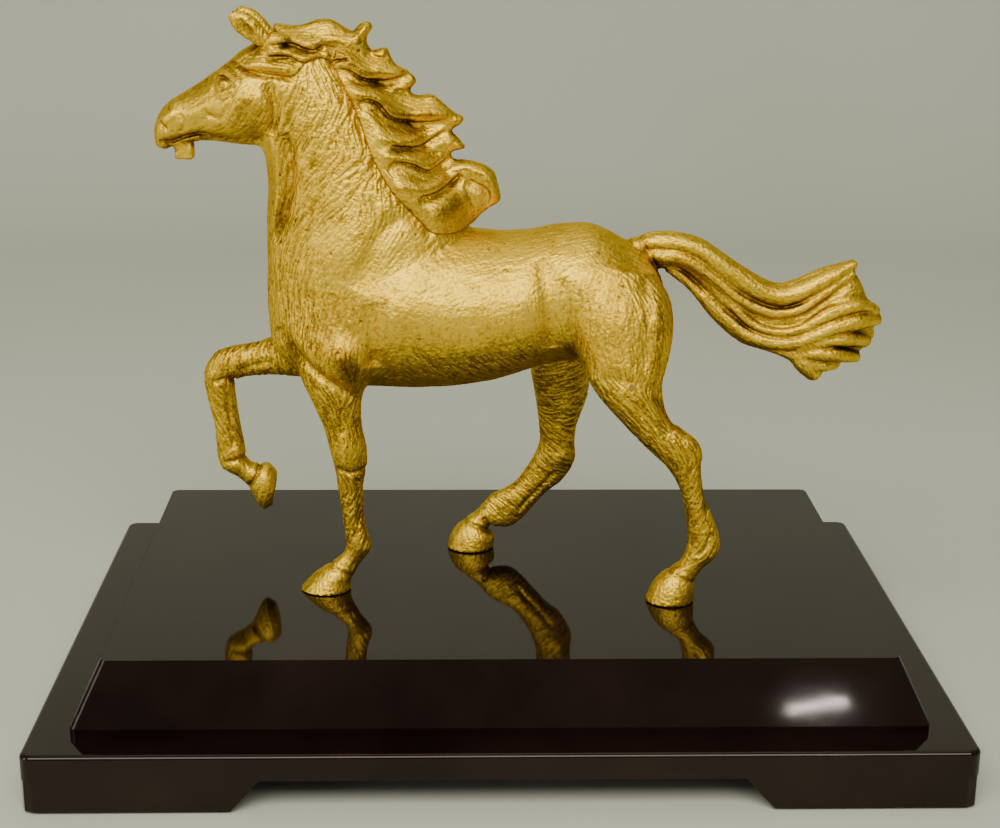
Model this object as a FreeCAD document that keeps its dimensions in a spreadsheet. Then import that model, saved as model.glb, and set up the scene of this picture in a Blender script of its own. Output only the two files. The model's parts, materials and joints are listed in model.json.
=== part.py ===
import FreeCAD, Part
import math
import os
from collections import namedtuple

import Sketcher
from FreeCAD import Placement, Rotation, Vector

# Cast horse, walking to the left, pinned together from eight castings and bolted by three hooves
# to a lacquered plinth. Millimetres. +Z is up, the horse faces -X, and the origin is on the
# floor at the middle of the plinth.

DIMENSIONS = {
    "slab_length": 300.0,
    "slab_width": 207.0,
    "slab_corner_radius": 4.0,
    "felt_thickness": 1.0,
    "felt_radius": 7.5,
    "foot_height": 10.4,
    "foot_run": 74.0,
    "foot_undercut": 9.2,
    "foot_rail": 18.0,
    "corner_block_side": 22.0,
    "board_thickness": 8.6,
    "board_edge_radius": 1.6,
    "block_top_length": 255.0,
    "block_top_width": 162.0,
    "block_slope_run": 9.2,
    "block_slope_height": 19.5,
    "block_band": 2.5,
    "block_hip_radius": 3.0,
    "screw_radius": 1.75,
    "screw_head_radius": 3.5,
    "screw_head_height": 2.4,
    "screw_length": 20.0,
    "screw_inset": 22.0,
    "horse_scale": 1.0,
    "horse_middle": -7.0,
    "hoof_pad": 0.4,
    "hoof_pad_length": 13.6,
    "hoof_pad_width": 13.2,
    "stud_radius": 2.0,
    "stud_in_hoof": 7.0,
    "stud_past_nut": 1.0,
    "washer_radius": 5.5,
    "washer_thickness": 1.0,
    "nut_across_flats": 7.0,
    "nut_height": 3.2,
    "nut_well_radius": 7.0,
    "nut_well_depth": 8.0,
    "casting_wall": 3.0,
    "sleeve_clearance": 0.1,
    "sleeve_wall": 2.2,
    "tenon_radius": 3.2,
    "tenon_length": 8.0,
    "socket_relief": 0.5,
    "joint_pin_radius": 1.0,
}

# One cross-section of a casting, seen from the side: two opposite points of its outline, each as
# distance along the plinth and height above its top, then half the thickness across the horse and
# how far the middle lies from the horse's own middle plane (negative is the near side).
Station = namedtuple("Station", "x1 z1 x2 z2 half_width side")

TORSO = [
    Station(-78.0, 94.0, -10.0, 125.0, 22.0, 0.0),
    Station(-77.0, 84.0, -8.5, 124.3, 24.0, 0.0),
    Station(-68.0, 76.0, -6.5, 124.0, 25.5, 0.0),
    Station(-54.0, 71.5, -4.0, 123.7, 26.0, 0.0),
    Station(-38.0, 70.0, -1.5, 123.4, 26.0, 0.0),
    Station(-20.0, 70.0, 3.0, 123.3, 25.8, 0.0),
    Station(0.0, 73.0, 11.0, 124.0, 25.0, 0.0),
    Station(14.0, 77.5, 20.0, 125.6, 23.6, 0.0),
    Station(28.0, 80.0, 31.0, 125.8, 22.7, 0.0),
    Station(42.0, 84.0, 42.0, 120.5, 18.0, 0.0),
    Station(51.0, 89.0, 50.0, 116.0, 13.0, 0.0),
    Station(56.0, 97.0, 55.0, 108.0, 5.0, 0.0),
]
NEAR_SHOULDER = [
    Station(-67.0, 98.0, -43.0, 102.0, 8.0, -11.0),
    Station(-68.0, 87.0, -42.5, 89.0, 9.5, -14.0),
    Station(-66.5, 77.0, -45.0, 77.5, 8.5, -15.5),
    Station(-62.0, 66.0, -46.8, 66.0, 6.8, -15.5),
]
OFF_SHOULDER = [
    Station(-66.0, 91.0, -62.0, 70.0, 8.5, 9.0),
    Station(-74.0, 86.0, -71.0, 69.5, 7.5, 12.0),
    Station(-81.0, 82.0, -78.0, 69.5, 6.2, 14.0),
]
NEAR_HAUNCH = [
    Station(30.0, 114.0, 52.0, 112.0, 8.0, -10.0),
    Station(24.0, 102.0, 57.0, 101.0, 11.0, -15.5),
    Station(24.4, 90.0, 56.8, 89.5, 11.0, -19.0),
    Station(27.9, 81.0, 54.8, 81.0, 10.0, -22.0),
    Station(31.8, 74.0, 54.0, 74.0, 8.5, -24.0),
]
OFF_HAUNCH = [
    Station(26.0, 114.0, 50.0, 112.0, 8.0, 10.0),
    Station(19.0, 102.0, 51.0, 100.0, 11.0, 14.0),
    Station(14.0, 90.0, 44.0, 88.0, 10.5, 17.0),
    Station(12.3, 79.0, 37.0, 78.0, 9.5, 19.0),
    Station(12.3, 70.0, 33.0, 70.0, 8.2, 20.0),
]
NECK_AND_HEAD = [
    TORSO[0],
    Station(-78.3, 103.0, -16.0, 139.0, 20.5, 0.0),
    Station(-78.0, 116.5, -26.0, 154.0, 18.0, 0.0),
    Station(-77.8, 128.5, -37.0, 169.0, 15.5, 0.0),
    Station(-77.3, 141.0, -51.0, 182.0, 13.5, 0.0),
    Station(-79.0, 151.0, -66.0, 187.5, 12.3, 0.0),
    Station(-84.3, 152.5, -80.0, 185.5, 12.0, 0.0),
    Station(-89.5, 153.0, -86.5, 181.3, 11.0, 0.0),
    Station(-94.5, 153.5, -93.0, 176.5, 9.5, 0.0),
    Station(-99.4, 153.5, -99.0, 172.5, 7.9, 0.0),
    Station(-104.5, 152.8, -104.5, 169.0, 6.9, 0.0),
    Station(-109.3, 151.5, -109.7, 165.5, 6.3, 0.0),
    Station(-112.7, 151.5, -112.8, 161.5, 4.9, 0.0),
    Station(-114.0, 154.0, -114.0, 158.0, 1.9, 0.0),
]
LOWER_LIP = [
    Station(-100.0, 152.0, -99.0, 156.0, 1.9, 0.0),
    Station(-106.5, 148.5, -101.5, 150.8, 2.6, 0.0),
    Station(-107.0, 147.3, -103.3, 147.5, 1.8, 0.0),
]
EAR = [
    Station(-76.0, 182.0, -70.0, 185.0, 2.6, 7.4),
    Station(-81.5, 186.0, -75.5, 188.0, 2.6, 7.8),
    Station(-84.5, 188.5, -77.5, 191.7, 2.2, 8.2),
    Station(-87.3, 192.3, -81.0, 195.3, 1.6, 8.6),
    Station(-87.8, 194.6, -84.5, 196.0, 0.8, 8.8),
]
MANE = [
    Station(-79.5, 178.5, -78.0, 190.0, 3.2, 0.0),
    Station(-67.5, 176.0, -68.8, 191.3, 4.4, 0.0),
    Station(-58.0, 173.0, -56.0, 192.4, 5.8, 0.0),
    Station(-54.0, 168.0, -43.5, 188.0, 5.8, 0.0),
    Station(-48.0, 160.0, -34.0, 179.0, 6.0, 0.0),
    Station(-44.0, 152.0, -26.0, 172.5, 6.2, 0.0),
    Station(-40.0, 143.5, -18.0, 165.0, 6.4, 0.0),
    Station(-34.0, 136.5, -12.5, 156.5, 6.6, 0.0),
    Station(-26.0, 130.0, -8.0, 148.5, 6.6, 0.0),
    Station(-18.0, 127.5, -2.0, 141.0, 6.2, 0.0),
    Station(-10.5, 127.8, 0.0, 132.6, 4.2, 0.0),
]
TAIL_DOCK = [
    Station(46.0, 108.5, 43.5, 120.3, 4.6, 0.0),
    Station(51.8, 110.0, 50.5, 122.0, 5.0, 0.0),
    Station(57.0, 110.0, 56.4, 122.5, 5.3, 0.0),
]
TAIL = [
    TAIL_DOCK[-1],
    Station(61.5, 108.8, 61.8, 121.8, 5.6, 0.0),
    Station(67.2, 103.5, 68.5, 119.2, 6.2, 0.0),
    Station(72.7, 95.5, 75.3, 114.6, 6.8, 0.0),
    Station(79.6, 89.8, 82.0, 109.4, 7.2, 0.0),
    Station(87.0, 85.4, 88.8, 105.0, 7.4, 0.0),
    Station(95.6, 83.0, 96.1, 103.0, 7.6, 0.0),
    Station(102.5, 79.5, 104.0, 104.3, 8.2, 0.0),
    Station(107.3, 73.3, 111.4, 107.2, 9.0, 0.0),
    Station(116.9, 75.5, 118.4, 110.7, 9.6, 0.0),
    Station(125.4, 78.5, 122.8, 111.5, 8.6, 0.0),
    Station(131.5, 85.5, 129.5, 96.0, 3.6, 0.0),
]
NEAR_FORELEG = [
    NEAR_SHOULDER[-1],
    Station(-59.0, 58.0, -46.5, 58.5, 5.6, -15.0),
    Station(-57.2, 50.5, -44.9, 51.0, 5.4, -15.0),
    Station(-55.9, 45.0, -45.0, 46.0, 5.0, -15.0),
    Station(-55.0, 38.0, -46.4, 38.5, 3.8, -15.0),
    Station(-53.8, 29.0, -46.2, 29.5, 3.4, -15.0),
    Station(-52.9, 21.0, -45.3, 21.0, 3.6, -15.0),
    Station(-52.3, 16.5, -44.0, 15.5, 4.1, -15.0),
    Station(-54.0, 12.5, -47.5, 10.0, 3.3, -15.0),
    Station(-58.0, 9.5, -50.0, 5.5, 4.3, -15.0),
    Station(-62.5, 6.5, -51.0, 3.2, 5.6, -15.0),
    Station(-68.4, 0.4, -51.0, 0.4, 7.6, -15.0),
]
OFF_FORELEG = [
    OFF_SHOULDER[-1],
    Station(-87.0, 80.0, -83.2, 68.8, 5.6, 15.5),
    Station(-94.2, 78.3, -89.5, 67.8, 5.2, 17.0),
    Station(-99.9, 75.5, -92.8, 66.0, 5.2, 18.0),
    Station(-103.6, 69.0, -93.0, 64.8, 5.1, 18.0),
    Station(-103.2, 63.0, -93.0, 62.5, 4.6, 18.0),
    Station(-102.0, 56.7, -92.4, 57.5, 4.1, 18.0),
    Station(-100.5, 49.2, -91.6, 50.5, 3.8, 18.0),
    Station(-100.1, 42.5, -90.4, 43.2, 4.0, 18.0),
    Station(-99.9, 38.5, -89.8, 38.5, 4.4, 18.0),
    Station(-98.6, 33.5, -88.9, 36.0, 4.4, 18.0),
    Station(-93.5, 30.5, -86.6, 34.8, 3.9, 18.0),
    Station(-89.2, 26.5, -83.5, 35.0, 4.8, 18.0),
    Station(-82.6, 16.8, -80.0, 33.0, 6.0, 18.0),
]
NEAR_HINDLEG = [
    NEAR_HAUNCH[-1],
    Station(40.0, 64.8, 55.9, 68.0, 7.0, -25.0),
    Station(46.9, 57.4, 58.8, 63.4, 5.6, -26.0),
    Station(52.5, 52.1, 63.7, 59.0, 5.2, -26.0),
    Station(56.7, 47.9, 67.6, 54.3, 4.9, -26.0),
    Station(59.9, 42.9, 68.6, 45.7, 4.2, -26.0),
    Station(62.2, 36.4, 70.0, 37.5, 3.6, -26.0),
    Station(63.8, 29.2, 72.5, 29.9, 3.6, -26.0),
    Station(64.4, 22.7, 75.0, 22.7, 4.2, -26.0),
    Station(63.6, 17.6, 74.6, 16.8, 4.6, -26.0),
    Station(61.8, 13.9, 70.3, 12.6, 4.0, -26.0),
    Station(57.8, 11.5, 67.6, 8.0, 4.6, -26.0),
    Station(53.7, 7.3, 67.3, 4.0, 6.3, -26.0),
    Station(50.5, 0.4, 67.1, 0.4, 7.6, -26.0),
]
OFF_HINDLEG = [
    OFF_HAUNCH[-1],
    Station(13.6, 62.5, 33.0, 61.5, 7.4, 21.5),
    Station(14.8, 55.0, 31.3, 54.4, 6.4, 22.5),
    Station(15.7, 47.5, 29.1, 47.5, 5.4, 23.5),
    Station(16.0, 41.0, 28.6, 41.0, 5.2, 24.0),
    Station(14.2, 36.0, 28.4, 33.3, 5.3, 24.5),
    Station(12.0, 31.8, 24.8, 26.8, 4.8, 25.0),
    Station(7.6, 25.6, 19.0, 21.8, 4.1, 25.0),
    Station(2.9, 22.5, 13.8, 15.9, 3.9, 25.0),
    Station(-1.9, 19.7, 9.6, 11.1, 4.1, 25.0),
    Station(-5.5, 15.4, 4.8, 8.2, 4.4, 25.0),
    Station(-8.1, 13.0, -0.4, 8.4, 3.9, 25.0),
    Station(-11.0, 11.1, -2.6, 6.9, 4.4, 25.0),
    Station(-14.7, 7.6, -0.6, 5.2, 6.0, 25.0),
    Station(-17.6, 0.4, -0.6, 0.4, 7.6, 25.0),
]

# Where each standing hoof is bolted down: distance along the plinth and side of the middle plane.
HOOVES = {
    "near_fore": (-58.0, -15.0),
    "near_hind": (60.0, -26.0),
    "off_hind": (-8.0, 25.0),
}

# The stretches of the torso and the neck that are cast hollow.
HOLLOW_TORSO = TORSO[:10]
HOLLOW_NECK = NECK_AND_HEAD[:5]

# Middles of the pins that hold the mane on the crest of the neck.
MANE_PINS = [(-17.5, 135.0), (-37.5, 164.5), (-64.0, 184.0)]
MANE_PIN_LENGTH = 9.0

# Points round each cross-section of a casting.
RING_POINTS = 24
RING_SPACING = 2.5

# How far the neck's sleeve reaches below the neck joint, how deep its two pins lie, and how much
# further its root and its bore run, so that they meet the metal around them.
SLEEVE_DEPTH = 6.0
NECK_PIN_DEPTH = SLEEVE_DEPTH / 2
SLEEVE_OVERRUN = 1.0

# Two heights this close are the same.
LEVEL = 0.01

doc = FreeCAD.newDocument("horse_on_plinth")
sub_parts = []


def make_sheet():
    """The driving dimensions, one named cell each."""
    sheet = doc.addObject("Spreadsheet::Sheet", "Dims")
    for row, (alias, value) in enumerate(DIMENSIONS.items(), start=1):
        sheet.set(f"A{row}", alias)
        sheet.set(f"B{row}", str(value))
        sheet.setAlias(f"B{row}", alias)
    doc.recompute()


def add(*names):
    """An expression that adds cells of the sheet."""
    return "(" + " + ".join(f"Dims.{name}" for name in names) + ")"


FOOT_BASE = add("felt_thickness")
BOARD_BASE = add("felt_thickness", "foot_height")
BLOCK_BASE = add("felt_thickness", "foot_height", "board_thickness")
PLINTH_TOP = add("felt_thickness", "foot_height", "board_thickness", "block_band",
                 "block_slope_height")


def along(value):
    """An expression for a distance along the horse."""
    return f"Dims.horse_scale * {value}"


def across(value):
    """An expression for a distance to the side, from the horse's middle plane."""
    return f"Dims.horse_middle + Dims.horse_scale * ({value})"


def above(value):
    """An expression for a height above the plinth."""
    return f"{PLINTH_TOP} + Dims.horse_scale * {value}"


def bind(thing, **expressions):
    """Bind properties to expressions; a double underscore stands for a dot."""
    for name, expression in expressions.items():
        thing.setExpression(name.replace("__", "."), expression)
    return thing


def finish_part(thing, label):
    """Name a finished sub-part."""
    thing.Label = label
    sub_parts.append(thing)
    return thing


# ---------------------------------------------------------------- castings

def centre(station):
    """The middle of a cross-section, as x, side and height."""
    return (station.x1 + station.x2) / 2, station.side, (station.z1 + station.z2) / 2


def ring(station, thinner):
    """Points round an elliptical cross-section, the last one on the first."""
    scale = doc.Dims.horse_scale
    long_axis = Vector(station.x2 - station.x1, 0, station.z2 - station.z1)
    long_radius = scale * long_axis.Length / 2 - thinner
    short_radius = scale * station.half_width - thinner
    long_axis.normalize()
    middle = Vector(*centre(station)) * scale
    angles = [2 * math.pi * step / RING_POINTS for step in range(RING_POINTS)]
    return [middle + long_axis * (long_radius * math.cos(angle))
            + Vector(0, short_radius * math.sin(angle), 0) for angle in [*angles, 0.0]]


def spread(stations):
    """The stations with more eased in between, about RING_SPACING apart along the middle line."""
    middles = [Vector(*centre(station)) for station in stations]
    gaps = [first.distanceToPoint(second) for first, second in zip(middles, middles[1:])]
    slopes = [[(end - start) / gap for start, end in zip(first, second)]
              for first, second, gap in zip(stations, stations[1:], gaps)]
    bends = [slopes[0]]
    for before, after, gap_before, gap_after in zip(slopes, slopes[1:], gaps, gaps[1:]):
        bends.append([(start * gap_after + end * gap_before) / (gap_before + gap_after)
                      for start, end in zip(before, after)])
    bends.append(slopes[-1])
    eased = []
    for number, gap in enumerate(gaps):
        steps = max(1, round(gap / RING_SPACING))
        for step in range(steps):
            at = step / steps
            eased.append(Station(*(
                start * (1 + 2 * at) * (1 - at) ** 2 + end * at ** 2 * (3 - 2 * at)
                + gap * at * (1 - at) * (leaving * (1 - at) - arriving * at)
                for start, end, leaving, arriving in zip(
                    stations[number], stations[number + 1], bends[number], bends[number + 1])
            )))
    return [*eased, stations[-1]]


def skinned(rings):
    """A solid with one smooth skin through the rings and a flat cap at each end."""
    surface = Part.BSplineSurface()
    surface.interpolate(rings)
    skin = surface.toShape()
    faces = [skin]
    for points in (rings[0], rings[-1]):
        marks = [Part.Vertex(point) for point in points[::RING_POINTS // 4]]
        rim = min(skin.Edges, key=lambda edge: max(edge.distToShape(mark)[0] for mark in marks))
        faces.append(Part.Face(Part.Wire([rim])))
    shell = Part.Shell(faces)
    shell.sewShape()
    solid = Part.Solid(shell)
    if solid.Volume < 0:
        solid.reverse()
    return solid


def loft(name, stations, thinner=0.0):
    """A free-form solid through the cross-sections, thinner all round by that much."""
    solid = doc.addObject("Part::Feature", name)
    solid.Shape = skinned([ring(station, thinner) for station in spread(stations)])
    return bind(solid, Placement__Base__y="Dims.horse_middle", Placement__Base__z=PLINTH_TOP)


def fuse(name, *solids):
    """The union of the solids."""
    union = doc.addObject("Part::MultiFuse", name)
    union.Shapes = list(solids)
    union.Refine = False
    return union


def cut(name, base, *tools):
    """The base with the tools taken away, one after another."""
    for number, tool in enumerate(tools, start=1):
        remainder = doc.addObject("Part::Cut", f"{name}_cut_{number}")
        remainder.Base = base
        remainder.Tool = tool
        remainder.Refine = False
        base = remainder
    return base


def rod(name, radius, length, direction, x, y, z):
    """A cylinder with its middle at x, y, z, along direction; all sizes are expressions."""
    cylinder = doc.addObject("Part::Cylinder", name)
    cylinder.Placement = Placement(Vector(), Rotation(Vector(0, 0, 1), direction))
    bind(
        cylinder,
        Radius=radius,
        Height=length,
        Placement__Base__x=f"{x} - ({length}) / 2 * {direction.x:.6f}",
        Placement__Base__y=f"{y} - ({length}) / 2 * {direction.y:.6f}",
        Placement__Base__z=f"{z} - ({length}) / 2 * {direction.z:.6f}",
    )
    return cylinder


def normal(station):
    """The unit normal of a cross-section's plane."""
    lean = math.atan2(station.x2 - station.x1, station.z2 - station.z1)
    return Vector(-math.cos(lean), 0, math.sin(lean))


def shifted(station, distance):
    """The same cross-section, moved along its normal."""
    move = normal(station) * distance
    return station._replace(
        x1=station.x1 + move.x,
        z1=station.z1 + move.z,
        x2=station.x2 + move.x,
        z2=station.z2 + move.z,
    )


def horse_rod(name, radius, length, direction, x, side, height):
    """A rod placed on the horse: x along it, side from its middle plane, height over the plinth."""
    return rod(name, radius, length, direction, along(x), across(side), above(height))


def tenon(name, station, relief="0"):
    """A round tenon that runs the same length to both sides of a joint's plane, or its socket,
    which is deeper by the relief."""
    x, side, height = centre(station)
    length = f"2 * (Dims.tenon_length + {relief})"
    return horse_rod(name, "Dims.tenon_radius", length, normal(station), x, side, height)


def joint_pin(name, station):
    """The pin that crosses a tenon inside its socket."""
    x, side, height = centre(shifted(station, DIMENSIONS["tenon_length"] / 2))
    length = f"2 * Dims.horse_scale * {station.half_width}"
    return horse_rod(name, "Dims.joint_pin_radius", length, Vector(0, 1, 0), x, side, height)


def neck_pins(name):
    """Two short pins through the torso's wall and the neck's sleeve, one on each side."""
    x, _, height = centre(shifted(TORSO[0], -NECK_PIN_DEPTH))
    length = "(Dims.casting_wall + Dims.sleeve_clearance + Dims.sleeve_wall)"
    pins = []
    for word, sign in (("near", -1), ("off", 1)):
        wall_middle = f"{across(0)} + {sign} * (Dims.horse_scale * {TORSO[0].half_width} - {length} / 2)"
        pins.append(rod(f"{name}_{word}", "Dims.joint_pin_radius", length, Vector(0, 1, 0),
                        along(x), wall_middle, above(height)))
    return pins


def mane_pins(name):
    """The pins that cross the crest of the neck inside the mane."""
    return [
        horse_rod(f"{name}_{number}", "Dims.joint_pin_radius", f"Dims.horse_scale * {MANE_PIN_LENGTH}",
                  Vector(0, 1, 0), x, 0, height)
        for number, (x, height) in enumerate(MANE_PINS, start=1)
    ]


def group(name, members):
    """Separate solids of one kind, kept together as one sub-part."""
    compound = doc.addObject("Part::Compound", name)
    compound.Links = members
    return finish_part(compound, name)


# The planes where the limbs join the torso, by limb.
LIMB_JOINTS = {
    "near_fore": NEAR_FORELEG[0],
    "off_fore": OFF_FORELEG[0],
    "near_hind": NEAR_HINDLEG[0],
    "off_hind": OFF_HINDLEG[0],
    "tail": TAIL[0],
}


def torso_skin(name, barrel):
    """The outside of the torso, without its hollow and sockets."""
    return fuse(
        name,
        barrel,
        loft(name + "_tail_dock", TAIL_DOCK),
        loft(name + "_near_shoulder", NEAR_SHOULDER),
        loft(name + "_off_shoulder", OFF_SHOULDER),
        loft(name + "_near_haunch", NEAR_HAUNCH),
        loft(name + "_off_haunch", OFF_HAUNCH),
    )


def make_torso(skin):
    """The barrel with shoulders and haunches, hollow, with sockets for the limbs."""
    sockets = [tenon(f"torso_socket_{limb}", joint, "Dims.socket_relief")
               for limb, joint in LIMB_JOINTS.items()]
    pin_holes = [joint_pin(f"torso_pin_hole_{limb}", joint) for limb, joint in LIMB_JOINTS.items()]
    torso = cut(
        "torso",
        skin,
        loft("torso_hollow", HOLLOW_TORSO, doc.Dims.casting_wall),
        *sockets,
        *pin_holes,
        *neck_pins("torso_neck_pin_hole"),
    )
    finish_part(torso, "torso_casting")


def ear(name, side):
    """One ear, on the near side (-1) or the off side (1)."""
    return loft(name, [station._replace(side=side * station.side) for station in EAR])


def head_skin(name, neck):
    """The outside of neck and head, with the ears and the lower lip."""
    return fuse(
        name,
        neck,
        loft(name + "_lip", LOWER_LIP),
        ear(name + "_near_ear", -1),
        ear(name + "_off_ear", 1),
    )


def make_neck_and_head(head):
    """Neck and head, hollow below the cheeks, with a sleeve that enters the torso."""
    joint = TORSO[0]
    outside = doc.Dims.casting_wall + doc.Dims.sleeve_clearance
    inside = outside + doc.Dims.sleeve_wall
    sleeve = loft("neck_sleeve", [shifted(joint, SLEEVE_OVERRUN), shifted(joint, -SLEEVE_DEPTH)],
                  outside)
    bore_end = shifted(joint, -SLEEVE_DEPTH - SLEEVE_OVERRUN)
    bore = loft("neck_hollow", [bore_end, *HOLLOW_NECK], inside)
    neck = cut(
        "neck",
        fuse("neck_with_sleeve", head, sleeve),
        bore,
        *neck_pins("neck_pin_hole"),
        *mane_pins("neck_mane_pin_hole"),
    )
    finish_part(neck, "neck_and_head_casting")


def make_mane(neck):
    """The mane, a saddle on the crest of the neck."""
    saddle = cut("mane_on_neck", loft("mane_locks", MANE), neck)
    mane = cut("mane", saddle, *mane_pins("mane_pin_hole"))
    finish_part(mane, "mane_casting")


def make_limb(limb, stations, label):
    """A leg or the tail, with a tenon at its joint and a stud hole in a standing hoof."""
    joint = LIMB_JOINTS[limb]
    body = fuse(f"{limb}_with_tenon", loft(f"{limb}_loft", stations), tenon(f"{limb}_tenon", joint))
    holes = [joint_pin(f"{limb}_pin_hole", joint)]
    if limb in HOOVES:
        holes.append(stud(f"{limb}_stud_hole", limb))
    finish_part(cut(limb, body, *holes), label)


def make_joint_pins():
    """The hidden pins of the joints between the castings."""
    group("neck_joint_pins", neck_pins("neck_pin"))
    group("mane_joint_pins", mane_pins("mane_pin"))
    finish_part(joint_pin("tail_pin", LIMB_JOINTS["tail"]), "tail_joint_pin")
    for pair in ("fore", "hind"):
        pins = [joint_pin(f"{side}_{pair}_pin", LIMB_JOINTS[f"{side}_{pair}"])
                for side in ("near", "off")]
        group(f"{pair}leg_joint_pins", pins)


# ---------------------------------------------------------------- hoof fastenings

WELL_TOP = f"({BLOCK_BASE} + Dims.nut_well_depth)"
UP = Vector(0, 0, 1)


def upright(name, radius, base, height, limb):
    """A vertical cylinder under a standing hoof, from the height base upwards."""
    x, side = HOOVES[limb]
    return rod(name, radius, height, UP, along(x), across(side), f"{base} + ({height}) / 2")


def stud(name, limb):
    """The threaded stud that holds a hoof down, from the nut up into the hoof."""
    base = f"({WELL_TOP} - Dims.washer_thickness - Dims.nut_height - Dims.stud_past_nut)"
    top = f"({PLINTH_TOP} + Dims.hoof_pad + Dims.stud_in_hoof)"
    return upright(name, "Dims.stud_radius", base, f"({top} - {base})", limb)


def washer(name, limb):
    """The washer at the top of the nut's well."""
    base = f"({WELL_TOP} - Dims.washer_thickness)"
    disc = upright(name + "_disc", "Dims.washer_radius", base, "Dims.washer_thickness", limb)
    return cut(name, disc, stud(name + "_hole", limb))


def nut(name, limb):
    """A hexagon nut on the stud, under its washer."""
    x, side = HOOVES[limb]
    prism = doc.addObject("Part::Prism", name + "_hexagon")
    bind(
        prism,
        Circumradius="Dims.nut_across_flats / sqrt(3)",
        Height="Dims.nut_height",
        Placement__Base__x=along(x),
        Placement__Base__y=across(side),
        Placement__Base__z=f"{WELL_TOP} - Dims.washer_thickness - Dims.nut_height",
    )
    return cut(name, prism, stud(name + "_hole", limb))


def hoof_pad(name, limb):
    """The thin dark pad between a standing hoof and the plinth."""
    x, side = HOOVES[limb]
    ellipse = doc.addObject("Part::Ellipse", name + "_outline")
    bind(
        ellipse,
        MajorRadius="Dims.hoof_pad_length / 2",
        MinorRadius="Dims.hoof_pad_width / 2",
        Placement__Base__x=along(x),
        Placement__Base__y=across(side),
        Placement__Base__z=PLINTH_TOP,
    )
    disc = doc.addObject("Part::Extrusion", name + "_disc")
    disc.Base = ellipse
    disc.DirMode = "Custom"
    disc.Dir = UP
    disc.Solid = True
    bind(disc, LengthFwd="Dims.hoof_pad")
    return cut(name, disc, stud(name + "_hole", limb))


def make_hoof_fastenings():
    """Studs, washers, nuts and pads of the three standing hooves."""
    for label, maker in (("hoof_studs", stud), ("stud_washers", washer), ("stud_nuts", nut),
                         ("hoof_pads", hoof_pad)):
        group(label, [maker(f"{label}_{limb}", limb) for limb in HOOVES])


# ---------------------------------------------------------------- plinth

def origin_plane(body, role):
    """One of a body's own origin planes."""
    return next(plane for plane in body.Origin.OriginFeatures if plane.Role == role)


def new_sketch(body, name, role, offset="0"):
    """A sketch on an origin plane, raised along the plane's normal by an expression."""
    sketch = body.newObject("Sketcher::SketchObject", name)
    sketch.AttachmentSupport = (origin_plane(body, role), "")
    sketch.MapMode = "FlatFace"
    bind(sketch, AttachmentOffset__Base__z=offset)
    return sketch


def fix_point(sketch, geometry, vertex, x, y):
    """Hold a vertex at the place that two expressions give."""
    for kind, expression in (("DistanceX", x), ("DistanceY", y)):
        amount = float(doc.Dims.evalExpression(expression))
        number = sketch.addConstraint(Sketcher.Constraint(kind, -1, 1, geometry, vertex, amount))
        if amount:
            sketch.setExpression(f"Constraints[{number}]", expression)


def draw_polygon(sketch, corners):
    """A closed outline whose corners are pairs of expressions."""
    places = [Vector(*(float(doc.Dims.evalExpression(term)) for term in corner), 0)
              for corner in corners]
    for number, start in enumerate(places):
        end = places[(number + 1) % len(places)]
        sketch.addGeometry(Part.LineSegment(start, end), False)
    for number, corner in enumerate(corners):
        following = (number + 1) % len(corners)
        sketch.addConstraint(Sketcher.Constraint("Coincident", number, 2, following, 1))
        fix_point(sketch, number, 1, *corner)


def draw_rectangle(sketch, length, width):
    """A rectangle about the sketch's origin."""
    draw_polygon(sketch, [
        (f"-({length}) / 2", f"-({width}) / 2"),
        (f"({length}) / 2", f"-({width}) / 2"),
        (f"({length}) / 2", f"({width}) / 2"),
        (f"-({length}) / 2", f"({width}) / 2"),
    ])


def pad(body, sketch, name, length, **expressions):
    """A pad of a sketch along its normal."""
    feature = body.newObject("PartDesign::Pad", name)
    feature.Profile = sketch
    bind(feature, Length=length, **expressions)
    return feature


def fillet(body, base, name, radius, chosen):
    """Round the edges of base that chosen picks."""
    doc.recompute()
    edges = [f"Edge{number}" for number, edge in enumerate(base.Shape.Edges, start=1)
             if chosen(edge)]
    feature = body.newObject("PartDesign::Fillet", name)
    feature.Base = (base, edges)
    bind(feature, Radius=radius)
    return feature


def edge_run(edge):
    """How far an edge runs along X, Y and Z."""
    first, last = (vertex.Point for vertex in (edge.Vertexes[0], edge.Vertexes[-1]))
    return abs(last.x - first.x), abs(last.y - first.y), abs(last.z - first.z)


def rises(edge):
    """True of an edge that climbs."""
    return edge_run(edge)[2] > LEVEL


def base_screw(name, x, y):
    """One countersunk wood screw, driven up through the base board into the block."""
    head = doc.addObject("Part::Cone", name + "_head")
    bind(head, Radius1="Dims.screw_head_radius", Radius2="Dims.screw_radius",
         Height="Dims.screw_head_height",
         Placement__Base__x=x, Placement__Base__y=y, Placement__Base__z=BOARD_BASE)
    shank = rod(name + "_shank", "Dims.screw_radius", "Dims.screw_length", UP, x, y,
                f"{BOARD_BASE} + Dims.screw_length / 2")
    return fuse(name, head, shank)


def base_screws(name):
    """Six screws in two rows."""
    return [
        base_screw(f"{name}_{column + 2}_{'front' if row < 0 else 'back'}",
                   f"{column} * (Dims.block_top_length / 2 - Dims.screw_inset)",
                   f"{row} * (Dims.block_top_width / 2 - Dims.screw_inset)")
        for column in (-1, 0, 1) for row in (-1, 1)
    ]


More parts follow.
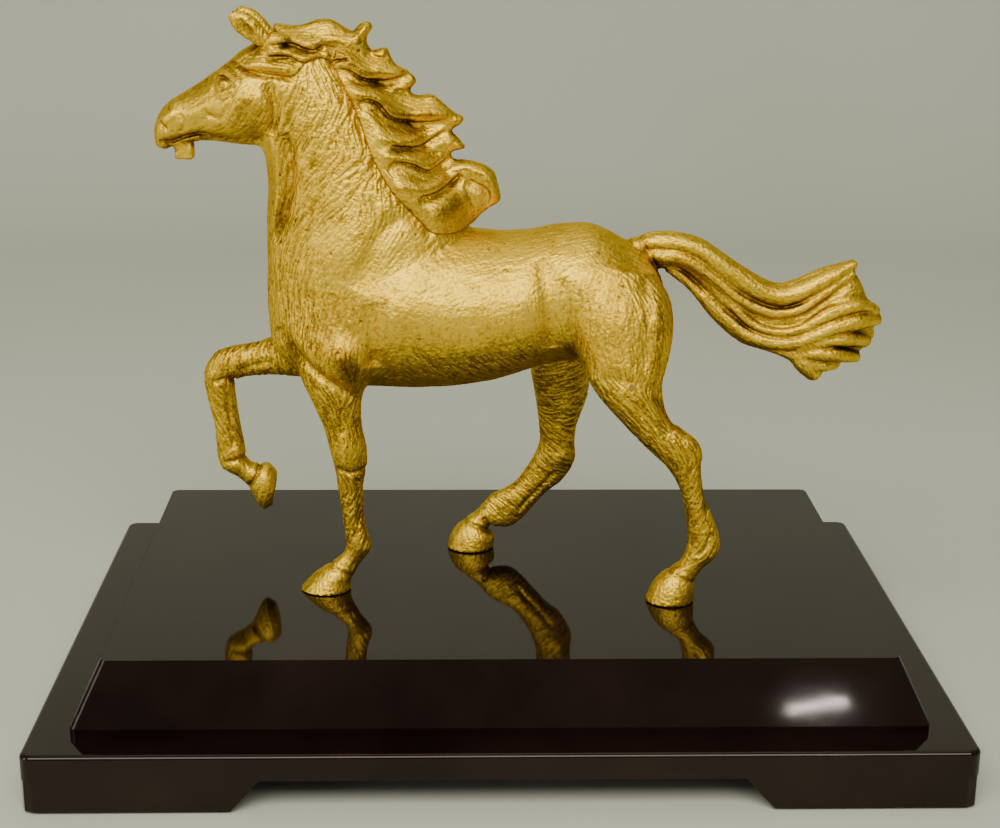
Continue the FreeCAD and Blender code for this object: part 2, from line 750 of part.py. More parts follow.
def make_block():
    """The upper block: a low upright band, then sloping sides up to the flat top."""
    body = doc.addObject("PartDesign::Body", "block_body")
    length = "Dims.block_top_length + 2 * Dims.block_slope_run"
    width = "Dims.block_top_width + 2 * Dims.block_slope_run"
    foot_sketch = new_sketch(body, "block_band_outline", "XY_Plane", BLOCK_BASE)
    draw_rectangle(foot_sketch, length, width)
    pad(body, foot_sketch, "block_band_pad", "Dims.block_band")
    slope_sketch = new_sketch(body, "block_slope_outline", "XY_Plane",
                              add("felt_thickness", "foot_height", "board_thickness", "block_band"))
    draw_rectangle(slope_sketch, length, width)
    slope = pad(body, slope_sketch, "block_slope_pad", "Dims.block_slope_height",
                TaperAngle="-atan(Dims.block_slope_run / Dims.block_slope_height)")
    fillet(body, slope, "block_hips", "Dims.block_hip_radius", rises)
    wells = [upright(f"block_well_{limb}", "Dims.nut_well_radius", BLOCK_BASE,
                     "Dims.nut_well_depth", limb) for limb in HOOVES]
    studs = [stud(f"block_stud_hole_{limb}", limb) for limb in HOOVES]
    block = cut("plinth", body, *wells, *studs, *base_screws("block_screw_hole"))
    finish_part(block, "plinth_block")


def make_board():
    """The base board, with rounded corners and edges."""
    body = doc.addObject("PartDesign::Body", "board_body")
    outline = new_sketch(body, "board_outline", "XY_Plane", BOARD_BASE)
    draw_rectangle(outline, "Dims.slab_length", "Dims.slab_width")
    plate = pad(body, outline, "board_pad", "Dims.board_thickness")
    corners = fillet(body, plate, "board_corners", "Dims.slab_corner_radius", rises)
    top = DIMENSIONS["felt_thickness"] + DIMENSIONS["foot_height"] + DIMENSIONS["board_thickness"]
    fillet(body, corners, "board_edges", "Dims.board_edge_radius",
           lambda edge: min(vertex.Z for vertex in edge.Vertexes) > top - LEVEL)
    finish_part(cut("board", body, *base_screws("board_screw_hole")), "base_board")


# The four corners of the slab: signs of its X and Y, and the turn that brings a foot there.
CORNERS = {
    "front_left": (-1, -1, 0),
    "front_right": (1, -1, 90),
    "back_right": (1, 1, 180),
    "back_left": (-1, 1, 270),
}


def at_corner(thing, corner, height):
    """Put a piece that was drawn with the slab's corner at the origin in its place."""
    sign_x, sign_y, turn = CORNERS[corner]
    thing.Placement = Placement(Vector(), Rotation(UP, turn))
    return bind(
        thing,
        Placement__Base__x=f"{sign_x} * Dims.slab_length / 2",
        Placement__Base__y=f"{sign_y} * Dims.slab_width / 2",
        Placement__Base__z=height,
    )


def make_foot_rail(corner, mirrored):
    """One of the two mitred rails of a bracket foot, under the slab's long or short side."""
    turned = CORNERS[corner][2] % 180 == 90
    name = f"foot_rail_{corner}_{'short' if mirrored != turned else 'long'}"

    def swap(first, second):
        return (second, first) if mirrored else (first, second)

    body = doc.addObject("PartDesign::Body", name + "_body")
    plan = new_sketch(body, name + "_plan", "XY_Plane")
    nose = "Dims.slab_corner_radius * (1 - sqrt(0.5))"
    draw_polygon(plan, [
        swap(nose, nose),
        swap("Dims.slab_corner_radius", "0"),
        swap("Dims.foot_run", "0"),
        swap("Dims.foot_run", "Dims.foot_rail"),
        swap("Dims.foot_rail", "Dims.foot_rail"),
    ])
    pad(body, plan, name + "_pad", "Dims.foot_height")
    end = new_sketch(body, name + "_end", "YZ_Plane" if mirrored else "XZ_Plane")
    draw_polygon(end, [
        ("Dims.foot_run - Dims.foot_undercut", "0"),
        ("Dims.foot_run", "0"),
        ("Dims.foot_run", "Dims.foot_height"),
    ])
    undercut = body.newObject("PartDesign::Pocket", name + "_undercut")
    undercut.Profile = end
    undercut.Type = "ThroughAll"
    undercut.Midplane = True
    at_corner(body, corner, FOOT_BASE)
    finish_part(body, name)


def make_corner_block(corner):
    """The three-sided glue block behind the mitre of a foot."""
    name = f"corner_block_{corner}"
    body = doc.addObject("PartDesign::Body", name + "_body")
    plan = new_sketch(body, name + "_plan", "XY_Plane")
    reach = "Dims.foot_rail + Dims.corner_block_side"
    draw_polygon(plan, [
        ("Dims.foot_rail", "Dims.foot_rail"),
        (reach, "Dims.foot_rail"),
        ("Dims.foot_rail", reach),
    ])
    pad(body, plan, name + "_pad", "Dims.foot_height")
    at_corner(body, corner, FOOT_BASE)
    finish_part(body, name)


def make_felt_pad(corner):
    """The felt disc under a foot."""
    sign_x, sign_y, _ = CORNERS[corner]
    inset = "(Dims.felt_radius + Dims.slab_corner_radius / 2)"
    disc = rod(f"felt_{corner}", "Dims.felt_radius", "Dims.felt_thickness", UP,
               f"{sign_x} * (Dims.slab_length / 2 - {inset})",
               f"{sign_y} * (Dims.slab_width / 2 - {inset})", "Dims.felt_thickness / 2")
    finish_part(disc, f"felt_pad_{corner}")


def make_plinth():
    """Block, board, screws and the four bracket feet."""
    make_block()
    make_board()
    group("base_screws", base_screws("screw"))
    for corner in CORNERS:
        make_foot_rail(corner, mirrored=False)
        make_foot_rail(corner, mirrored=True)
        make_corner_block(corner)
        make_felt_pad(corner)


def make_horse():
    """The castings and their pins."""
    barrel = loft("barrel", TORSO)
    neck = loft("neck_skin", NECK_AND_HEAD)
    make_torso(torso_skin("torso_skin", barrel))
    make_neck_and_head(head_skin("head_skin", neck))
    make_mane(neck)
    make_limb("tail", TAIL, "tail_casting")
    make_limb("near_fore", NEAR_FORELEG, "near_foreleg_casting")
    make_limb("off_fore", OFF_FORELEG, "off_foreleg_casting")
    make_limb("near_hind", NEAR_HINDLEG, "near_hindleg_casting")
    make_limb("off_hind", OFF_HINDLEG, "off_hindleg_casting")
    make_joint_pins()


def check_document():
    """Stop if any object failed or any sub-part has a bad shape."""
    for thing in doc.Objects:
        if "Invalid" in thing.State or "Error" in thing.State:
            raise RuntimeError(f"{thing.Label} failed: {thing.State}")
    for thing in sub_parts:
        if thing.Shape.isNull() or not thing.Shape.isValid():
            raise RuntimeError(f"{thing.Label} has a bad shape")


def export_parts():
    """Write each sub-part to its own file."""
    os.makedirs("parts", exist_ok=True)
    for thing in sub_parts:
        thing.Shape.exportStep(f"parts/{thing.Label}.step")
        solids = len(thing.Shape.Solids)
        print(f"{thing.Label}: {solids} solid(s), {thing.Shape.Volume:.1f} mm3")


make_sheet()
make_horse()
make_hoof_fastenings()
make_plinth()
doc.recompute()
check_document()
export_parts()
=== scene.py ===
import json
import math
from collections import namedtuple

import bmesh
import bpy
import numpy as np
import openvdb as vdb
from mathutils import Matrix, Vector


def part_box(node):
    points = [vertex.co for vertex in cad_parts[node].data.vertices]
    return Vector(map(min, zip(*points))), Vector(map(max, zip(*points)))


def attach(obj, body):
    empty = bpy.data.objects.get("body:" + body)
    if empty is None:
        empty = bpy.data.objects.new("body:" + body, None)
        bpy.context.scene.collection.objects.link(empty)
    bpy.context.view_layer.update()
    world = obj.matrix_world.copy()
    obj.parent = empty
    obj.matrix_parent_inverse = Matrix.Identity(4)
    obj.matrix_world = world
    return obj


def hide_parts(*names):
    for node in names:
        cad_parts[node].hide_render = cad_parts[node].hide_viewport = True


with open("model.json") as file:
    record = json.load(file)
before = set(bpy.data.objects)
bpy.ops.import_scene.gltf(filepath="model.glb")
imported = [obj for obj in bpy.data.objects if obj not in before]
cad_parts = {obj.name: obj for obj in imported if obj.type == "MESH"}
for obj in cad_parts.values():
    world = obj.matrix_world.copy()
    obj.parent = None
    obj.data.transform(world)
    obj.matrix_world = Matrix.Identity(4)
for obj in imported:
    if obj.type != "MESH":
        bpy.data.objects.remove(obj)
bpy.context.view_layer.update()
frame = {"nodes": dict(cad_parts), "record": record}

# Lengths in this file are millimetres unless a name says otherwise. Places on the horse are
# distance along the plinth (+X), distance from the horse's middle plane (+Y, away from the
# camera) and height above the plinth. Blender gets metres. Near is the camera's side.
MM = 0.001
_, PLINTH_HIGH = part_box("plinth_block")
MANE_LOW, MANE_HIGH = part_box("mane_casting")
HORSE_ORIGIN = np.array([0.0, (MANE_LOW.y + MANE_HIGH.y) / 2, PLINTH_HIGH.z])

NEAR, OFF, BOTH = -1, 1, 0
VOXEL = 0.4
BAND = 5.0
SEED = 11
BODY_BOX = ((-122, -40, -2), (138, 36, 202))
MANE_BOX = ((-92, -26, 116), (12, 26, 202))
# Further from the middle plane than any skin, and as far as skin_side looks.
WIDEST = 60
SEARCH_DEPTH = 34
# Grooves and swellings fade out this close to the middle plane.
FADE = 3.0

# One cross-section of a form, seen from the side: two opposite points of its outline, then half
# its thickness across the horse and, unless 0, its distance from the middle plane.
Station = namedtuple("Station", "x1 z1 x2 z2 half_width side", defaults=(0,))


def stations(rows):
    """Cross-sections from rows of their numbers."""
    return [Station(*row) for row in rows]


TRUNK = stations([
    (56, 97, 55, 108, 6), (51, 89, 50, 116, 14), (42, 84, 42, 120.5, 19),
    (28, 80, 31, 125.8, 22.7), (14, 77.5, 20, 125.6, 23.6), (0, 73, 11, 124, 25),
    (-20, 70, 3, 123.3, 25.8), (-38, 70, -1.5, 123.4, 26), (-54, 71.5, -4, 123.7, 26),
    (-68, 76, -6.5, 124, 25.5), (-77, 84, -8.5, 124.3, 24), (-78, 94, -10, 125, 22),
    (-78.3, 103, -16, 139, 20.5), (-78, 116.5, -26, 154, 18), (-77.8, 128.5, -37, 169, 15.5),
    (-77.3, 141, -51, 182, 13.5), (-79, 151, -66, 187.5, 12.3), (-84.3, 152.5, -80, 185.5, 12),
    (-89.5, 153, -86.5, 181.3, 11), (-94.5, 153.5, -93, 176.5, 9.5),
    (-99.4, 153.5, -99, 172.5, 7.9), (-104.5, 152.8, -104.5, 169, 6.9),
    (-109.3, 151.5, -109.7, 165.5, 6.3), (-112.7, 151.5, -112.8, 161.5, 4.9),
    (-114, 154, -114, 158, 1.9),
])
NEAR_FORELEG = stations([
    (-67, 98, -43, 102, 6, -9), (-68, 87, -42.5, 89, 9.5, -15), (-66.5, 77, -45, 77.5, 8.5, -15.5),
    (-62, 66, -46.8, 66, 6.8, -15.5), (-59, 58, -46.5, 58.5, 5.6, -15),
    (-57.2, 50.5, -44.9, 51, 5.4, -15), (-55.9, 45, -45, 46, 5, -15),
    (-55, 38, -46.4, 38.5, 3.8, -15), (-53.8, 29, -46.2, 29.5, 3.4, -15),
    (-52.9, 21, -45.3, 21, 3.6, -15), (-52.3, 16.5, -44, 15.5, 4.1, -15),
    (-54, 12.5, -47.5, 10, 3.3, -15), (-58, 9.5, -50, 5.5, 4.3, -15),
    (-62.5, 6.5, -51, 3.2, 5.6, -15), (-68.4, 0.4, -51, 0.4, 7.6, -15),
])
OFF_FORELEG = stations([
    (-66, 91, -62, 70, 8.5, 9), (-74, 86, -71, 69.5, 7.5, 12), (-81, 82, -78, 69.5, 6.2, 14),
    (-87, 80, -83.2, 68.8, 5.6, 15.5), (-94.2, 78.3, -89.5, 67.8, 5.2, 17),
    (-99.9, 75.5, -92.8, 66, 5.2, 18), (-103.6, 69, -93, 64.8, 5.1, 18),
    (-103.2, 63, -93, 62.5, 4.6, 18), (-102, 56.7, -92.4, 57.5, 4.1, 18),
    (-100.5, 49.2, -91.6, 50.5, 3.8, 18), (-100.1, 42.5, -90.4, 43.2, 4, 18),
    (-99.9, 38.5, -89.8, 38.5, 4.4, 18), (-98.6, 33.5, -88.9, 36, 4.4, 18),
    (-93.5, 30.5, -86.6, 34.8, 3.9, 18), (-89.2, 26.5, -83.5, 35, 4.8, 18),
    (-83.8, 17.4, -80.6, 34, 6, 18), (-80.8, 19.2, -78.8, 31.8, 4.6, 18),
])
NEAR_HINDLEG = stations([
    (30, 114, 52, 112, 8, -11), (24, 102, 57, 101, 11, -15.5), (24.4, 90, 56.8, 89.5, 11, -19),
    (27.9, 81, 54.8, 81, 10, -22), (31.8, 74, 54, 74, 8.5, -24), (40, 64.8, 55.9, 68, 7, -25),
    (46.9, 57.4, 58.8, 63.4, 5.6, -26), (52.5, 52.1, 63.7, 59, 5.2, -26),
    (56.7, 47.9, 67.6, 54.3, 4.9, -26), (59.9, 42.9, 68.6, 45.7, 4.2, -26),
    (62.2, 36.4, 70, 37.5, 3.6, -26), (63.8, 29.2, 72.5, 29.9, 3.6, -26),
    (64.4, 22.7, 75, 22.7, 4.2, -26), (63.6, 17.6, 74.6, 16.8, 4.6, -26),
    (61.8, 13.9, 70.3, 12.6, 4, -26), (57.8, 11.5, 67.6, 8, 4.6, -26),
    (53.7, 7.3, 67.3, 4, 6.3, -26), (50.5, 0.4, 67.1, 0.4, 7.6, -26),
])
OFF_HINDLEG = stations([
    (26, 114, 50, 112, 8, 11), (19, 102, 51, 100, 11, 14), (14, 90, 44, 88, 10.5, 17),
    (12.3, 79, 37, 78, 9.5, 19), (12.3, 70, 33, 70, 8.2, 20), (13.6, 62.5, 33, 61.5, 7.4, 21.5),
    (14.8, 55, 31.3, 54.4, 6.4, 22.5), (15.7, 47.5, 29.1, 47.5, 5.4, 23.5),
    (16, 41, 28.6, 41, 5.2, 24), (14.2, 36, 28.4, 33.3, 5.3, 24.5),
    (12, 31.8, 24.8, 26.8, 4.8, 25), (7.6, 25.6, 19, 21.8, 4.1, 25),
    (2.9, 22.5, 13.8, 15.9, 3.9, 25), (-1.9, 19.7, 9.6, 11.1, 4.1, 25),
    (-5.5, 15.4, 4.8, 8.2, 4.4, 25), (-8.1, 13, -0.4, 8.4, 3.9, 25),
    (-11, 11.1, -2.6, 6.9, 4.4, 25), (-14.7, 7.6, -0.6, 5.2, 6, 25),
    (-17.6, 0.4, -0.6, 0.4, 7.6, 25),
])
EAR = stations([
    (-75.5, 183, -70.5, 186.5, 2.4, 7), (-79.3, 185.6, -74.4, 188.6, 2.6, 7.4),
    (-82.3, 187.4, -76.7, 191.2, 2.9, 7.8), (-84.8, 189.2, -79.2, 194, 2.9, 8.2),
    (-86.7, 191.6, -82.6, 196, 2.2, 8.5), (-87.8, 194.2, -86, 196.4, 1, 8.7),
])

# The mane and forelock in the side view: their outline, the sharp edges of the folds with a
# hollow below each, and the middles of the rolls between them, each as its points, width and
# depth or height.
MANE_OUTLINE = [
    (-84, 177.2), (-85.3, 179.6), (-80.8, 183), (-76.8, 186), (-74.6, 189.6), (-73.4, 191.6),
    (-68.5, 191), (-64.5, 191.4), (-60, 192.9), (-55.5, 193.1), (-51.5, 190.9), (-48.5, 189.4),
    (-46.2, 191.6), (-43.4, 192.3), (-42, 190.8), (-43.6, 188.4), (-44, 185.8), (-42.3, 183.3),
    (-39.8, 183.8), (-37.4, 184), (-36, 181.2), (-34.3, 178.6), (-30.5, 176.7), (-27.8, 173.6),
    (-29.8, 170.6), (-27.8, 168.7), (-22.5, 169), (-18.5, 165.8), (-15.2, 163), (-12.3, 161.6),
    (-13.2, 159.4), (-16.2, 157.4), (-13.4, 154.2), (-11.8, 151.6), (-16, 150.2), (-15.4, 147.8),
    (-10, 147.2), (-5.6, 146), (-2, 143.6), (-0.6, 139), (0.2, 134.2), (-3.6, 131.4),
    (-6.5, 129.2), (-9, 126.4), (-14, 124.6), (-22.5, 125.4), (-26.5, 129), (-31.5, 134.2),
    (-37, 140.8), (-42.5, 150.8), (-46, 160.8), (-51, 171.6), (-55.5, 179.6), (-59, 181.2),
    (-63, 179.8), (-66.6, 176), (-70, 176), (-76.5, 177.2),
]
MANE_FOLDS = [
    ([(-76, 185.6), (-68, 185.6), (-63.8, 184.2), (-60.5, 183.6), (-58, 185.4)], 1.3, 1.1),
    ([(-76, 181.6), (-68.5, 181.8), (-65.2, 179.8), (-62.5, 179)], 1.4, 1.4),
    ([(-56, 178.6), (-53.5, 180.6), (-49.5, 181)], 0.8, 0.9),
    ([(-55, 174.6), (-53.4, 176.6), (-50, 176.9), (-46, 174.6), (-42, 173.6), (-36, 173.8),
     (-29, 176)], 2, 2.8),
    ([(-46.5, 166.6), (-43.5, 167.8), (-40, 166.4), (-36.5, 162.2), (-31, 160.4), (-25, 160),
     (-15, 161.6)], 2.5, 3),
    ([(-36, 153.6), (-31, 152.9), (-26.5, 152.6), (-22, 155.2), (-17.5, 157.8)], 1.7, 1.5),
    ([(-37, 145.6), (-34, 147.8), (-29.5, 147), (-24, 144.4), (-19.5, 146.6),
     (-14.5, 149.4)], 2.6, 3),
    ([(-27, 136.9), (-22, 137.9), (-17.5, 139.8), (-13, 143.4)], 1.6, 2.2),
    ([(-11.5, 141.6), (-7.5, 139.8), (-4, 137), (-5, 132.4)], 2.2, 1.4),
    ([(-44, 184.2), (-41, 181.4), (-37, 181.8)], 1, 0.8),
    ([(-35, 171.2), (-31, 170.4), (-28.5, 172.4)], 1.2, 1),
]
MANE_ROLLS = [
    ([(-75, 188), (-68, 188.3), (-62, 186.4), (-56, 187), (-50, 187), (-46, 188.6),
     (-43.5, 191)], 1.8, 1),
    ([(-75, 183.4), (-69, 183.6), (-65.5, 182), (-62, 181.6), (-59, 183.6)], 1.2, 0.9),
    ([(-83, 179.2), (-77.5, 179.5), (-72, 178.8), (-68.3, 177.6)], 1.2, 0.9),
    ([(-54, 182.4), (-49, 181.2), (-43, 177.6), (-37, 176.8), (-31.5, 177)], 2.2, 1.6),
    ([(-52, 186), (-46, 184.8), (-41, 183.2), (-37.5, 182.8)], 1.6, 0.7),
    ([(-51, 172.6), (-46.5, 170.6), (-41.5, 169.6), (-36, 165.4), (-30, 163.6), (-22, 163.4),
     (-14.5, 162.2)], 2.4, 1.8),
    ([(-41, 157.4), (-36, 155.8), (-30, 155.2), (-24.5, 157.6)], 1.5, 1.1),
    ([(-39.5, 151.4), (-34.5, 150.6), (-28.5, 149.4), (-23, 147.2), (-18.5, 149.4)], 1.5, 1.2),
    ([(-35, 141.6), (-30, 141), (-24, 140.4), (-18, 142.6)], 1.8, 1),
    ([(-18.5, 145.6), (-12, 146), (-5.5, 143.8), (-2, 139), (-1.4, 134.6)], 1.8, 1.2),
    ([(-23, 131), (-16, 133.6), (-10.5, 136)], 4, 1.4),
]
# How far the mane stands off the neck inside its outline and at its edge, its half width above
# the crest inside and at the edge, the distance over which it rises, how softly these two forms
# meet, how abruptly its folds start, how softly the folds' floor and the border join on, and how
# deep it sits in the neck.
MANE_LIFT = 2.0
MANE_STEP = 0.5
MANE_CORE = 5.4
MANE_RIM = 1.5
MANE_EASE = 3.0
MANE_BLEND = 2.0
FOLD_EDGE = 0.4
FLOOR_BLEND = 0.6
BORDER_BLEND = 1.0
MANE_SEAT = 0.3
TAIL_CORE = stations([
    (44, 108.5, 41.5, 119, 4), (52.5, 110.5, 51.5, 121, 4.8), (61.5, 110.5, 61.8, 120.5, 4.6),
    (68, 105, 69, 118, 4.6), (73.5, 97.5, 75.5, 112.5, 4.8), (80.5, 91, 82, 107.5, 5),
    (87.5, 86.5, 88.8, 103, 5.2), (96, 84, 96.1, 101, 5.6), (103, 80.5, 104, 102.5, 6),
    (109, 77, 111.4, 106, 6.4), (117, 78.5, 118.4, 109, 6.2), (124, 81, 122.4, 108.5, 4.2),
    (129.6, 87, 127.4, 98, 2),
])
# The tail's locks, the same on both sides: distance along, distance from the middle plane, height
# and radius.
TAIL_LOCKS = [
    [(46, 2.2, 119, 2.2), (54.5, 2.4, 120.4, 2.8), (67, 2.4, 117.8, 3.3), (81, 2.6, 108, 3.9),
     (93.5, 2.8, 101.9, 3.5), (101.5, 3, 102.9, 3.3), (111.5, 2.6, 107.8, 2.8),
     (120.6, 1, 112.3, 1.5)],
    [(50, 3.6, 115.6, 2.2), (62, 4, 115, 2.1), (72, 4.2, 108.8, 2), (82, 4.4, 101, 1.9),
     (92, 4.8, 96.6, 1.8), (101, 5, 97.2, 1.7), (110, 4.4, 102.6, 1.5), (120.5, 2, 109.6, 1.1)],
    [(74, 2.6, 103, 1.4), (80, 4.4, 98.2, 1.5), (87, 5.2, 92.2, 1.6), (95, 5.8, 89.8, 1.6),
     (103, 6, 91, 1.8), (112.5, 6.2, 96.4, 2.6), (122.5, 4.2, 98.8, 2.4), (128.8, 1.5, 96.6, 1.8)],
    [(70, 2.4, 101.5, 1.8), (77, 3.4, 94.6, 2.2), (85, 5, 88.6, 2.2), (94.5, 6, 86.2, 2.2),
     (103, 6.4, 86.9, 2.3), (113, 6.6, 91.4, 2.8), (122.5, 4.6, 93.6, 3), (129.4, 1.5, 93.4, 2.1)],
    [(58, 1.2, 111, 1.6), (66, 1.8, 104.8, 1.8), (75, 2.6, 94.6, 2), (84, 3.4, 87.2, 1.8),
     (94, 4.2, 83.9, 1.6), (101, 5, 81.6, 2.2), (105, 5, 78.6, 3.4), (108.2, 4, 75.6, 3.2)],
    [(103, 5.8, 84.2, 2), (112, 6.6, 87, 2.2), (119.5, 5.4, 87.6, 2.6), (126, 2, 86, 2.3)],
    [(102, 5.6, 82, 2), (110, 6.8, 82.6, 2.3), (117, 5.6, 81.8, 2.6), (123, 2, 80.4, 2.1)],
    [(104, 5.2, 79.6, 2.2), (110, 5.8, 78.2, 2.2), (115.5, 3.8, 78.4, 2.2)],
]

# ---------------------------------------------------------------- scalar fields

# Points in a ring, spacing of the eased stations, how many widths or radii a groove or swelling
# reaches, and a number that keeps a division by zero away.
RING_POINTS = 48
STATION_GAP = 2.0
GROOVE_REACH = 2.2
SWELL_REACH = 2.0
TINY = 1e-9


def trilinear(values, cell, part):
    """A lattice's values a part of the way on from cells; the lattice repeats past its end."""
    total = np.zeros(len(cell), np.float32)
    for corner in range(8):
        step = np.array([corner >> 2 & 1, corner >> 1 & 1, corner & 1])
        weight = np.prod(np.where(step, part, 1 - part), axis=1)
        x, y, z = ((cell + step) % values.shape).T
        total += weight * values[x, y, z]
    return total


class Field:
    """Signed distances in millimetres on a regular lattice, negative inside."""

    def __init__(self, low, high):
        self.low = np.floor(np.array(low) / VOXEL).astype(int)
        self.shape = np.ceil(np.array(high) / VOXEL).astype(int) - self.low
        self.values = np.full(self.shape, BAND, np.float32)

    def axis(self, number, window=slice(None)):
        """Lattice coordinates along one axis."""
        return ((np.arange(self.shape[number]) + self.low[number]) * VOXEL)[window]

    def window(self, low, high):
        """Slices of the lattice that cover a box."""
        first = np.floor(np.array(low) / VOXEL).astype(int) - self.low
        last = np.ceil(np.array(high) / VOXEL).astype(int) - self.low + 1
        return tuple(slice(max(0, a), max(0, min(n, b))) for a, b, n in zip(first, last, self.shape))

    def around(self, middle, halves):
        """Slices and lattice coordinates of a box with the band round it."""
        reach = np.array(halves) + BAND
        window = self.window(np.array(middle) - reach, np.array(middle) + reach)
        return window, self.grid(window)

    def side_window(self, points, reach, side):
        """Slices round points in the side view, on one side of the middle plane or both."""
        low, high = points.min(0) - reach, points.max(0) + reach
        return self.window((low[0], -WIDEST if side <= 0 else 0, low[1]),
                           (high[0], WIDEST if side >= 0 else 0, high[1]))

    def grid(self, window):
        """Lattice coordinates in a window, one array for each axis."""
        return np.meshgrid(*(self.axis(n, cut) for n, cut in enumerate(window)), indexing="ij")

    def add(self, window, part, blend):
        """Joins a form's distances on, with a fillet of about the blend distance."""
        self.values[window] = merge(self.values[window], part, blend)

    def sink(self, window, amount):
        """Moves the skin in by an amount that varies in the side view."""
        fade = np.clip(np.abs(self.axis(1, window[1])) / FADE, 0, 1)
        self.values[window] += (amount[:, None, :] * fade[None, :, None]).astype(np.float32)

    def sample(self, points):
        """Values at points, by trilinear interpolation."""
        place = np.clip(points / VOXEL - self.low, 0, self.shape - 1.001)
        cell = place.astype(int)
        return trilinear(self.values, cell, (place - cell).astype(np.float32))


def merge(first, second, blend):
    """The smooth union of two distances, rounded over about the blend distance."""
    nearness = np.maximum(blend - np.abs(first - second), 0) / blend
    return np.minimum(first, second) - nearness * nearness * blend / 4


def eased(rough):
    """The stations with more eased in between, evenly along the middle line."""
    table = np.array(rough, float)
    middles = np.stack([table[:, 0] + table[:, 2], table[:, 1] + table[:, 3],
                        2 * table[:, 5]], axis=1) / 2
    gaps = np.linalg.norm(np.diff(middles, axis=0), axis=1)
    slopes = np.diff(table, axis=0) / gaps[:, None]
    inner = ((slopes[:-1] * gaps[1:, None] + slopes[1:] * gaps[:-1, None])
             / (gaps[:-1] + gaps[1:])[:, None])
    bends = np.vstack([slopes[:1], inner, slopes[-1:]])
    rows = []
    for number, gap in enumerate(gaps):
        for at in np.arange(0, 1, 1 / max(1, round(gap / STATION_GAP))):
            rows.append(table[number] * (1 + 2 * at) * (1 - at) ** 2
                        + table[number + 1] * at ** 2 * (3 - 2 * at)
                        + gap * at * (1 - at) * (bends[number] * (1 - at) - bends[number + 1] * at))
    rows.append(table[-1])
    return np.array(rows)


def tube(field, sections, blend):
    """Adds the closed form through elliptical cross-sections to a field."""
    rows = eased(sections)
    angles = np.linspace(0, 2 * math.pi, RING_POINTS, endpoint=False)
    middle = np.stack([rows[:, 0] + rows[:, 2], 2 * rows[:, 5], rows[:, 1] + rows[:, 3]], 1) / 2
    reach = np.stack([rows[:, 2] - rows[:, 0], 0 * rows[:, 0], rows[:, 3] - rows[:, 1]], 1) / 2
    across = np.stack([0 * rows[:, 0], rows[:, 4], 0 * rows[:, 0]], 1)
    rings = (middle[:, None] + reach[:, None] * np.cos(angles)[None, :, None]
             + across[:, None] * np.sin(angles)[None, :, None])
    count = len(rows)
    points = np.vstack([rings.reshape(-1, 3), middle[[0, -1]]]).astype(np.float32)
    here = np.arange(RING_POINTS)
    there = (here + 1) % RING_POINTS
    quads = np.vstack([np.stack([row * RING_POINTS + here, row * RING_POINTS + there,
                                 (row + 1) * RING_POINTS + there,
                                 (row + 1) * RING_POINTS + here], 1) for row in range(count - 1)])
    last = (count - 1) * RING_POINTS
    caps = np.vstack([
        np.stack([there, here, np.full(RING_POINTS, count * RING_POINTS)], 1),
        np.stack([last + here, last + there, np.full(RING_POINTS, count * RING_POINTS + 1)], 1),
    ])
    grid = vdb.FloatGrid.createLevelSetFromPolygons(
        points, triangles=caps.astype(np.uint32), quads=quads.astype(np.uint32),
        transform=vdb.createLinearTransform(VOXEL), halfWidth=BAND / VOXEL)
    window = field.window(points.min(0) - BAND, points.max(0) + BAND)
    part = np.empty(field.values[window].shape, np.float32)
    grid.copyToArray(part, ijk=tuple(int(low + cut.start) for low, cut in zip(field.low, window)))
    field.add(window, part, blend)


def skin_side(field, x, z, side):
    """How far from the middle plane a field's skin is at a place in the side view; 0 if outside."""
    reach = np.arange(0, SEARCH_DEPTH, VOXEL)
    line = np.stack([np.full_like(reach, x), side * reach, np.full_like(reach, z)], 1)
    inside = field.sample(line) < 0
    return reach[inside].max() if inside.any() else 0.0


def segment(axes, start, end):
    """How far along a segment each place falls, from 0 to 1, and its distance from there."""
    step = end - start
    at = sum((axis - a) * s for axis, a, s in zip(axes, start, step)) / (step @ step + TINY)
    at = np.clip(at, 0, 1)
    return at, np.sqrt(sum((axis - a - at * s) ** 2 for axis, a, s in zip(axes, start, step)))


def lock(field, points, side, blend, hollow=False):
    """Adds a lock of hair, a tapering strand through x, distance from the middle plane, height
    and radius points, or takes its shape away."""
    table = np.array(points, float)
    table[:, 1] *= side
    table = curved(table)
    reach = table[:, 3].max() + BAND
    window = field.window(table[:, :3].min(0) - reach, table[:, :3].max(0) + reach)
    axes = field.grid(window)
    nearest = np.full(axes[0].shape, BAND, np.float32)
    for start, end in zip(table, table[1:]):
        at, gap = segment(axes, start[:3], end[:3])
        nearest = np.minimum(nearest, gap - start[3] - at * (end[3] - start[3]))
    if hollow:
        field.values[window] = -merge(-field.values[window], nearest, blend)
    else:
        field.add(window, nearest, blend)


def curved(table, parts=5):
    """A smooth curve through the rows of a table, by Catmull-Rom."""
    padded = np.vstack([2 * table[0] - table[1], table, 2 * table[-1] - table[-2]])
    rows = []
    for a, b, c, d in zip(padded, padded[1:], padded[2:], padded[3:]):
        for at in np.arange(parts) / parts:
            rows.append(0.5 * (2 * b + (c - a) * at + (2 * a - 5 * b + 4 * c - d) * at ** 2
                               + (3 * b - a - 3 * c + d) * at ** 3))
    rows.append(table[-1])
    return np.array(rows)


